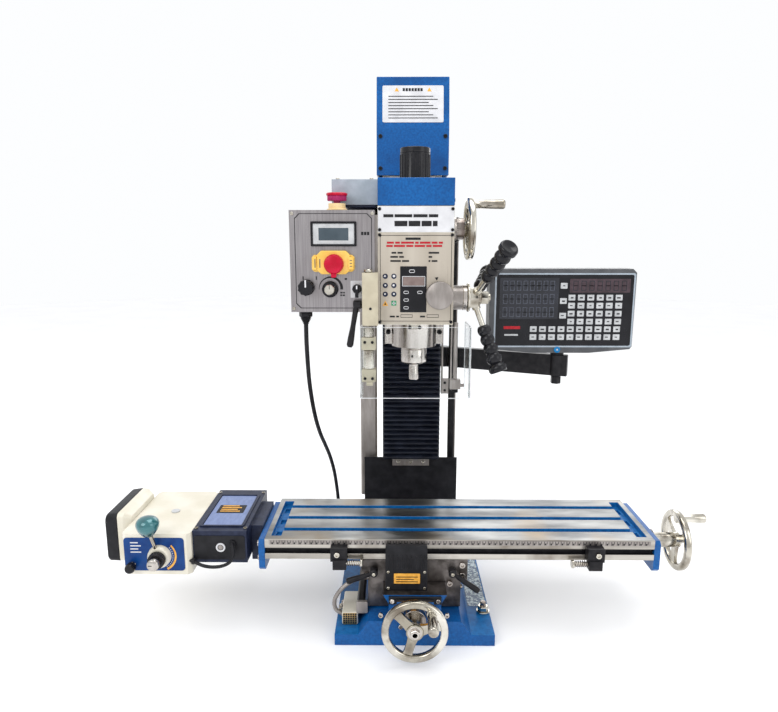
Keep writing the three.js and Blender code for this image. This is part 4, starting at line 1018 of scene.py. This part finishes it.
def add_head_top():
    refine("head_top_cover", "blue", 2.2, others=(("gloss_black", lambda c, n: c.z > 812.5),))
    on_head("drawbar_cap_bands", "black_steel",
        *(bar("z", 27.4, z, z + 2, SPINDLE, 48, 0.5) for z in (814, 860)),
        *(bar("z", 1, 818, 858, p, 8) for p in arc(*SPINDLE, 26.8, 0, 345, 23)))
    on_head("top_cover_screws", "black_steel", *(screw("x", 3.4, side * 66, (y, 776), out=side, head=2.5)
        for side in (-1, 1) for y in (-120, 50) if side > 0 or y > 40))
    refine("belt_cover", "grey", 2.4)
    on_head("belt_cover_screws", "chrome", *screws("z", 3.4, 813, 2.4, (-138, -78), (-90, 30), out=1))
    on_head("belt_cover_lip", "navy", box(-146, -70, -98.5, 38, 764.5, 769), edge=0.8)

    fins = [(604, 0), (604, 24), (607, 28)]
    for z in range(612, 748, 8):
        fins += [(z, 27.5), (z + 0.6, 31), (z + 3, 31), (z + 3.6, 27.5)]
    on_head("motor_shell", "black_steel", turned("z", [*fins, (750, 30), (764.3, 30.6), (764.3, 0)],
        MOTOR), node="motor", angle=40)
    on_head("motor_plate", "galvanised", prism("x", rounded(-36, -4, 640, 690, 2), -130.2, -128.6))
    refine("spindle_pulley", "black_steel", 0.4)
    refine("motor_pulley", "black_steel", 0.4)
    loops = [belt_loop(SPINDLE, 25 + outside, MOTOR, 13 + outside) for outside in (3, 0.3)]
    on_head("drive_belt", "rubber", frame_ring("z", *loops, 781, 795), angle=50)


def add_spindle():
    refine("quill", "turned_steel", 0.6)
    profile = [(445, 0), (445, 7.8), (446.2, 9), (470, 9), (471, 8.4), (474, 8.4), (477, 9.4), (477, 18),
        (481, 23.6), (483, 24), (505, 24), (507, 22.6), (510, 22.6), (510, 16), (706, 16), (706, 11),
        (861, 11), (862, 10), (862, 0)]
    piece("spindle", "spindle_nose", "turned_steel", turned("z", profile, SPINDLE, 72), node="spindle")
    # The hole in the spindle nose is a dark disc: painted shade.
    piece("spindle", "spindle_nose_hole", "ink",
        bar("y", 2.6, SPINDLE[1] - 23.9, SPINDLE[1] - 18, (-3, 494), 20))


# ---------------------------------------------------------------- levers
def grip_profile():
    """A black grip with four swellings and a flared, dished end, as (share, radius) pairs."""
    steps, swell = 48, 0.8
    waves = [(swell * i / steps, 8.6 + 2.6 * i / steps + 3.4 * abs(sin(4 * pi * i / steps)) ** 0.8)
        for i in range(1, steps)]
    return [(0, 0), (0, 8), *waves, (0.81, 10.4), (0.86, 14.8), (0.89, 16.6), (0.965, 16.6), (1, 14.6),
        (1, 12), (0.975, 8), (0.975, 0)]


def add_capstan():
    boss, tip = 94, 137
    piece("capstan", "capstan_hub", "chrome", bar("x", 26, boss + 0.4, boss + 5, CAPSTAN, 64, 1.2),
        bar("x", 20.5, boss + 4, boss + 20, CAPSTAN, 6, 1.4),
        bar("x", 14, boss + 19, boss + 25, CAPSTAN, 48, 1),
        hex_nut("x", 12.6, boss + 25, tip - 4, CAPSTAN), bar("x", 7, tip - 5, tip, CAPSTAN, 24, 1),
        edge=0.5, node="capstan")
    piece("capstan", "capstan_shaft", "turned_steel", bar("x", 9.5, -10, 10, CAPSTAN, 24, 1),
        bar("x", 7, 9, boss + 5, CAPSTAN, 32))
    rods, grips = [], []
    for k in range(3):
        turn = radians(47 + 120 * k)
        reach = Vector((47, -135 * sin(turn), 135 * cos(turn)))
        hub = Vector((boss + 11, *CAPSTAN))
        rods += [strut(hub + reach * 0.05, hub + reach * 0.45, 5),
            strut(hub + reach * 0.1, hub + reach * 0.16, 7.5)]
        grips.append(strut(hub + reach * 0.38, hub + reach, 0, sides=40, profile=grip_profile()))
    piece("capstan", "capstan_rods", "chrome", *rods)
    piece("capstan", "capstan_grips", "gloss_black", *grips, angle=60)


def add_levers():
    arm = [(0, 4), (0.1, 5), (0.5, 4.4), (0.8, 5.8), (0.95, 6), (1, 4)]
    piece("head_lock_lever", "head_lock_arm", "black_steel",
        bar("x", 7.5, -108, -94, (-160, 598), 32, 1.5), bar("x", 4, -95, -87.8, (-160, 596), 20),
        strut((-102, -160, 600), (-115, -162, 524), 0, profile=arm), angle=40, node="head_lock_lever")
    piece("z_lock_lever", "z_lock_arm", "black_steel", bar("x", 8, 66.4, 88, (96, 702), 32, 1.5),
        bar("x", 4, 56, 68, (96, 702), 20), strut((82, 96, 702), (118, 80, 724), 0, profile=arm), angle=40,
        node="z_lock_lever")


def add_guard():
    x, y = -82, -161
    front, side, bottom, top = -172, 96, 434, 560
    piece("guard", "guard_sheet", "clear", box(-side, side, front, front + 3, bottom, top),
        box(-side, 3 - side, front + 3, -136, bottom, top),
        box(side - 3, side, front + 3, -92, bottom, top), edge=0.8, node="guard")
    piece("guard", "guard_edges", "guard_edge",
        box(-side, side, front + 0.5, front + 2.5, bottom - 0.2, bottom + 0.9),
        box(-side, side, front + 1.2, front + 1.8, top - 0.5, top + 0.2),
        box(side - 0.6, side, front + 0.2, front + 0.8, bottom, top),
        box(side - 2.7, side - 0.3, -93, -91.9, bottom, top),
        box(3 - side, 0.5 - side, -136.6, -135.8, bottom, top))
    piece("guard", "guard_pin", "chrome", bar("z", 4.5, 462, 658, (x, y), 28, 0.8),
        bar("z", 7, 653.4, 658.6, (x, y), 36, 1), bar("z", 9.6, 486, 519, (x, y + 0.6), 40, 0.8),
        bar("z", 9.6, 542, 559.4, (x, y + 0.6), 40, 0.8))
    piece("guard", "guard_clasps", "tan", box(x - 12, x + 13, front + 3, y + 10, 519.4, 541.6),
        box(x - 12, x + 13, front + 3, y + 10, 463, 485.6), box(x - 4, x + 8, front + 3, y + 8, 456, 463),
        edge=1.2)
    piece("guard", "guard_screws", "black_steel",
        *(screw("y", 2.6, front, (x - 6 + 13 * k, z), head=2) for k in (0, 1) for z in (470, 534)))
    piece("guard", "guard_stay", "galvanised", bar("z", 4, 450, 559, (76, -98), 28),
        bar("z", 1.6, 450, 559, (68.5, -98), 16), box(66, 86, -105, -92, 434.5, 453),
        box(84, 93.2, -100, -96, 438, 444), edge=0.8)


# ---------------------------------------------------------------- control box
def add_control_box():
    put, on_front = facing(-150), facing(-150, on_head)
    refine("control_box", "brushed", 2, others=(("pale_yellow", lambda c, n: c.z > 758.5),))
    outline = [cut_corners(-208 + d, -75.5 - d, 590.5 + d, 752.5 - d, 8) for d in (0, 1.1)]
    on_front("box_lid_rim", "ink", frame_ring("y", *outline, -0.4, 0))
    on_front("box_lid_screws", "chrome", *screws("y", 3, 0, 2, (-212, -75), (590, 752)))
    on_head("box_bracket", "galvanised", box(-70.9, -66.1, -142, -96, 592, 750))
    on_head("box_back_flange", "galvanised", frame_ring("y", rounded(-216, -72, 585, 757, 3),
        rounded(-206, -82, 595, 747, 3), -92, -90.6))

    frame_line, glass = rounded(-180, -101.7, 697, 739, 1.5), rounded(-176.2, -105.5, 700.8, 735.2, 1)
    window = rounded(-166.5, -115.5, 707, 728, 0.5)
    on_front("counter_frame", "gloss_black", frame_ring("y", frame_line, glass, -5, 0), edge=0.4)
    on_front("counter_bezel", "key_grey", frame_ring("y", glass, window, -3.6, 0), edge=0.3)
    on_front("counter_lcd", "lcd", prism("y", window, -2.6, 0))
    on_front("box_marks", "ink", *words(716, 5.5, -94, (4, 4, 4), 1), box(-196, -194.2, -0.4, 0, 640, 646),
        box(-173, -171.2, -0.4, 0, 640, 646), *words(612, 2.6, -131, (3, 4), 1),
        *words(616.5, 2.6, -131, (4, 3), 1), *words(640, 3, -123, (4,), 1))
    on_front("speed_scale", "ink", prism("y", crescent(-147, 625, 21, 185, -5, 0.8, 5), -0.4, 0))
    on_front("coolant_plate", "white_plate", plate(0, 0.5, -113, -93.4, 609, 638.5, 1))

    def stem(x, z):
        return bar("y", 4, -1, 10, (x, z), 20)

    put("selector_knob", "selector_body", "gloss_black", knurled("y", 14, -18, -6, (-189, 627), 10, 1.5),
        bar("y", 13.8, -6, -0.4, (-189, 627), 48, 1), stem(-189, 627), angle=45, node="selector_knob")
    put("selector_knob", "selector_pointer", "white_plate", box(-190.2, -187.8, -18.5, -17.5, 628, 640.5))
    put("speed_knob", "speed_skirt", "gloss_black", bar("y", 14, -8, -0.4, (-148, 624), 56, 1.6),
        stem(-148, 624), node="speed_knob")
    put("speed_knob", "speed_cap", "chrome", knurled("y", 9, -20, -7.9, (-148, 624), 36, 0.4))
    put("speed_knob", "speed_cap_mark", "ink", box(-148.5, -147.5, -20.4, -19.6, 625, 632))
    put("coolant_switch_knob", "coolant_knob_body", "gloss_black",
        bar("y", 8, -13, -0.8, (-101.5, 625), 40, 1.2), stem(-101.5, 625),
        box(-104.5, -98.5, -16, -12, 610.5, 632), edge=0.8, node="coolant_switch_knob")
    put("coolant_switch_knob", "coolant_pointer", "white_plate",
        box(-102.6, -100.4, -16.5, -15.6, 625, 631))


def add_switches():
    top = 758
    put = facing(-150)
    flap = "switch_flap"
    put(flap, "switch_cover", "yellow", prism("y", cut_corners(-169, -113, 650, 690, 7), -13, -0.5),
        prism("y", cut_corners(-178.6, -105.4, 654, 683, 4), -8, -0.5),
        box(-177, -169.5, -11, -7, 657, 680), box(-116, -107, -15, -7, 658, 679), edge=1.6,
        node="switch_flap")
    put(flap, "switch_cover_slots", "brown_slot",
        *(box(x, x + 1.8, -13 - d, -10.5, 661, 676) for x, d in ((-173.5, -1.8), (-165, 0.2))),
        *(box(-113, -109, -15.3, -14, z, z + 1.4) for z in (663, 668, 673)))
    dome = [(-11, 0), (-11, 17), (-22, 16.6), (-26, 14.5), (-27.6, 9), (-28, 0)]
    put(flap, "switch_stop_button", "red", turned("y", dome, (-140, 0, 667.5), 56),
        plate(-12, 10.0, -144.6, -135.4, 645, 660, 2.5), edge=0.8, angle=50)

    x, y = -137, -122
    piece("estop_button", "estop_mushroom", "crimson",
        knurled("z", 16.8, top + 16.3, top + 26, (x, y), 26, 1.1, 1.2),
        bar("z", 6, top - 6, top + 17, (x, y), 24), angle=45, node="estop_button")
    rim = [(25, 0), (25, 17.4), (26.4, 18.5), (28.6, 18.5), (30, 16.8), (30, 0)]
    piece("estop_button", "estop_cap", "red", turned("z", [(top + h, r) for h, r in rim], (x, y, 0), 64))
    on_head("estop_ring", "pale_yellow", bar("z", 18, top, top + 3, (x, y), 56, 1))


# ---------------------------------------------------------------- readout
def digit(x, z, width, height):
    """An unlit figure eight made of two square rings."""
    middle, stroke = z + height / 2, 1.2
    return [frame_ring("y", cut_corners(x, x + width, a, b, 0),
        cut_corners(x + stroke, x + width - stroke, a + stroke, b - stroke, 0), -1.1, -0.8)
        for a, b in ((z, middle + stroke / 2), (middle - stroke / 2, z + height))]


def add_readout():
    back = 88
    on_front = facing(44, on_readout)
    refine("readout", "readout_case", 3, others=(("black_steel", lambda c, n: c.z < 474),))
    refine("readout_arm", "black_steel", 1.5)
    bevel = [rounded(168 + d, 453 - d, 489 + d, 641.5 - d, 4) for d in (0, 3.2)]
    on_front("readout_bevel", "grey", frame_ring("y", *bevel, -0.6, 0.2))
    on_front("readout_panel", "gloss_black", plate(0, 0.5, 171, 450, 492, 638.5, 2))
    on_front("readout_glass", "smoked_glass", plate(-0.4, 0.4, 178, 298, 548, 632, 1.5))
    on_front("readout_message_glass", "dim_red", plate(-0.4, 0.4, 320, 443, 602, 630, 1))
    digits = [d for z in (606, 579, 552) for k in range(8) for d in digit(185 + 13.6 * k, z, 9, 20)]
    on_front("readout_digits", "dim_digit", *digits)
    on_front("readout_message_digits", "smoked_glass",
        *(d for k in range(7) for d in digit(327 + 16.4 * k, 606, 10, 20)))
    keys = [(308, z) for z in (616, 585, 555)]
    keys += [(325 + 19.2 * i, 592 - 16.4 * j) for i in range(6) for j in range(4)]
    keys += [(249 + 19 * i, z) for i in range(10) for z in (527, 510.5)]
    on_front("readout_keys", "key_grey", *(plate(-0.4, 1.6, x - 6.8, x + 6.8, z - 5.8, z + 5.8, 0.9, 2)
        for x, z in keys))
    on_front("readout_key_marks", "ink", *(box(x - 2 - k % 3, x + 2 + k % 2, -2.3, -1.9, z - 0.8 - k % 2,
        z + 1) for k, (x, z) in enumerate(keys)))
    on_front("readout_badge", "red_ink", box(188, 222, -0.9, -0.4, 527, 533))
    on_front("readout_badge_line", "key_grey", box(190, 218, -0.9, -0.4, 513, 516.5))
    on_front("readout_dot", "cool_ink", bar("y", 6.5, -2, 0.5, (300, 484), 40, 0.6))
    on_front("readout_dot_mark", "white_plate", bar("y", 2.6, -2.4, -1.9, (300, 484), 3))
    on_readout("readout_back_plate", "black_plastic", plate(back + 0.8, 1.0, 172, 440, 492, 636, 4),
        edge=0.4)
    on_readout("readout_sockets", "chrome", *(bar("y", 9, back, back + 4, (x, 520), 32, 0.8)
        for x in (210, 250, 362, 402)))
    # The vents are dark strips on the back plate: painted shade.
    on_readout("readout_vents", "ink", *(box(200, 412, back + 0.7, back + 1.1, z, z + 2.4)
        for z in range(560, 620, 8)))
    on_readout("readout_post_collar", "black_plastic", bar("z", 14, 470.6, 477, (306, 66), 40, 1))
    reach = Matrix.Translation((306, 66, 0)) @ Matrix.Rotation(atan2(66 - 165, 306 - 76), 4, "Z")
    piece("readout_arm", "arm_end", "black_steel", box(-2, 23, -8, 8, 425, 470), edge=1.5, place=reach)


def add_conduit():
    route = [(-96, -176, 96), (-112, -188, 95), (-131, -195, 84), (-145, -197, 62), (-143, -196, 42),
        (-131, -196, 33)]
    add_held_cable("armoured_conduit", list(reversed(route)), 4, None, "galvanised", 0.7,
        ("root", "saddle", (-0.145, -0.197, 0.05), (-0.1, -0.18, 0.096)))


add_head_front()
add_notices()
add_quill_front()
add_head_top()
add_spindle()
add_capstan()
add_levers()
add_guard()
add_control_box()
add_switches()
add_readout()
add_conduit()
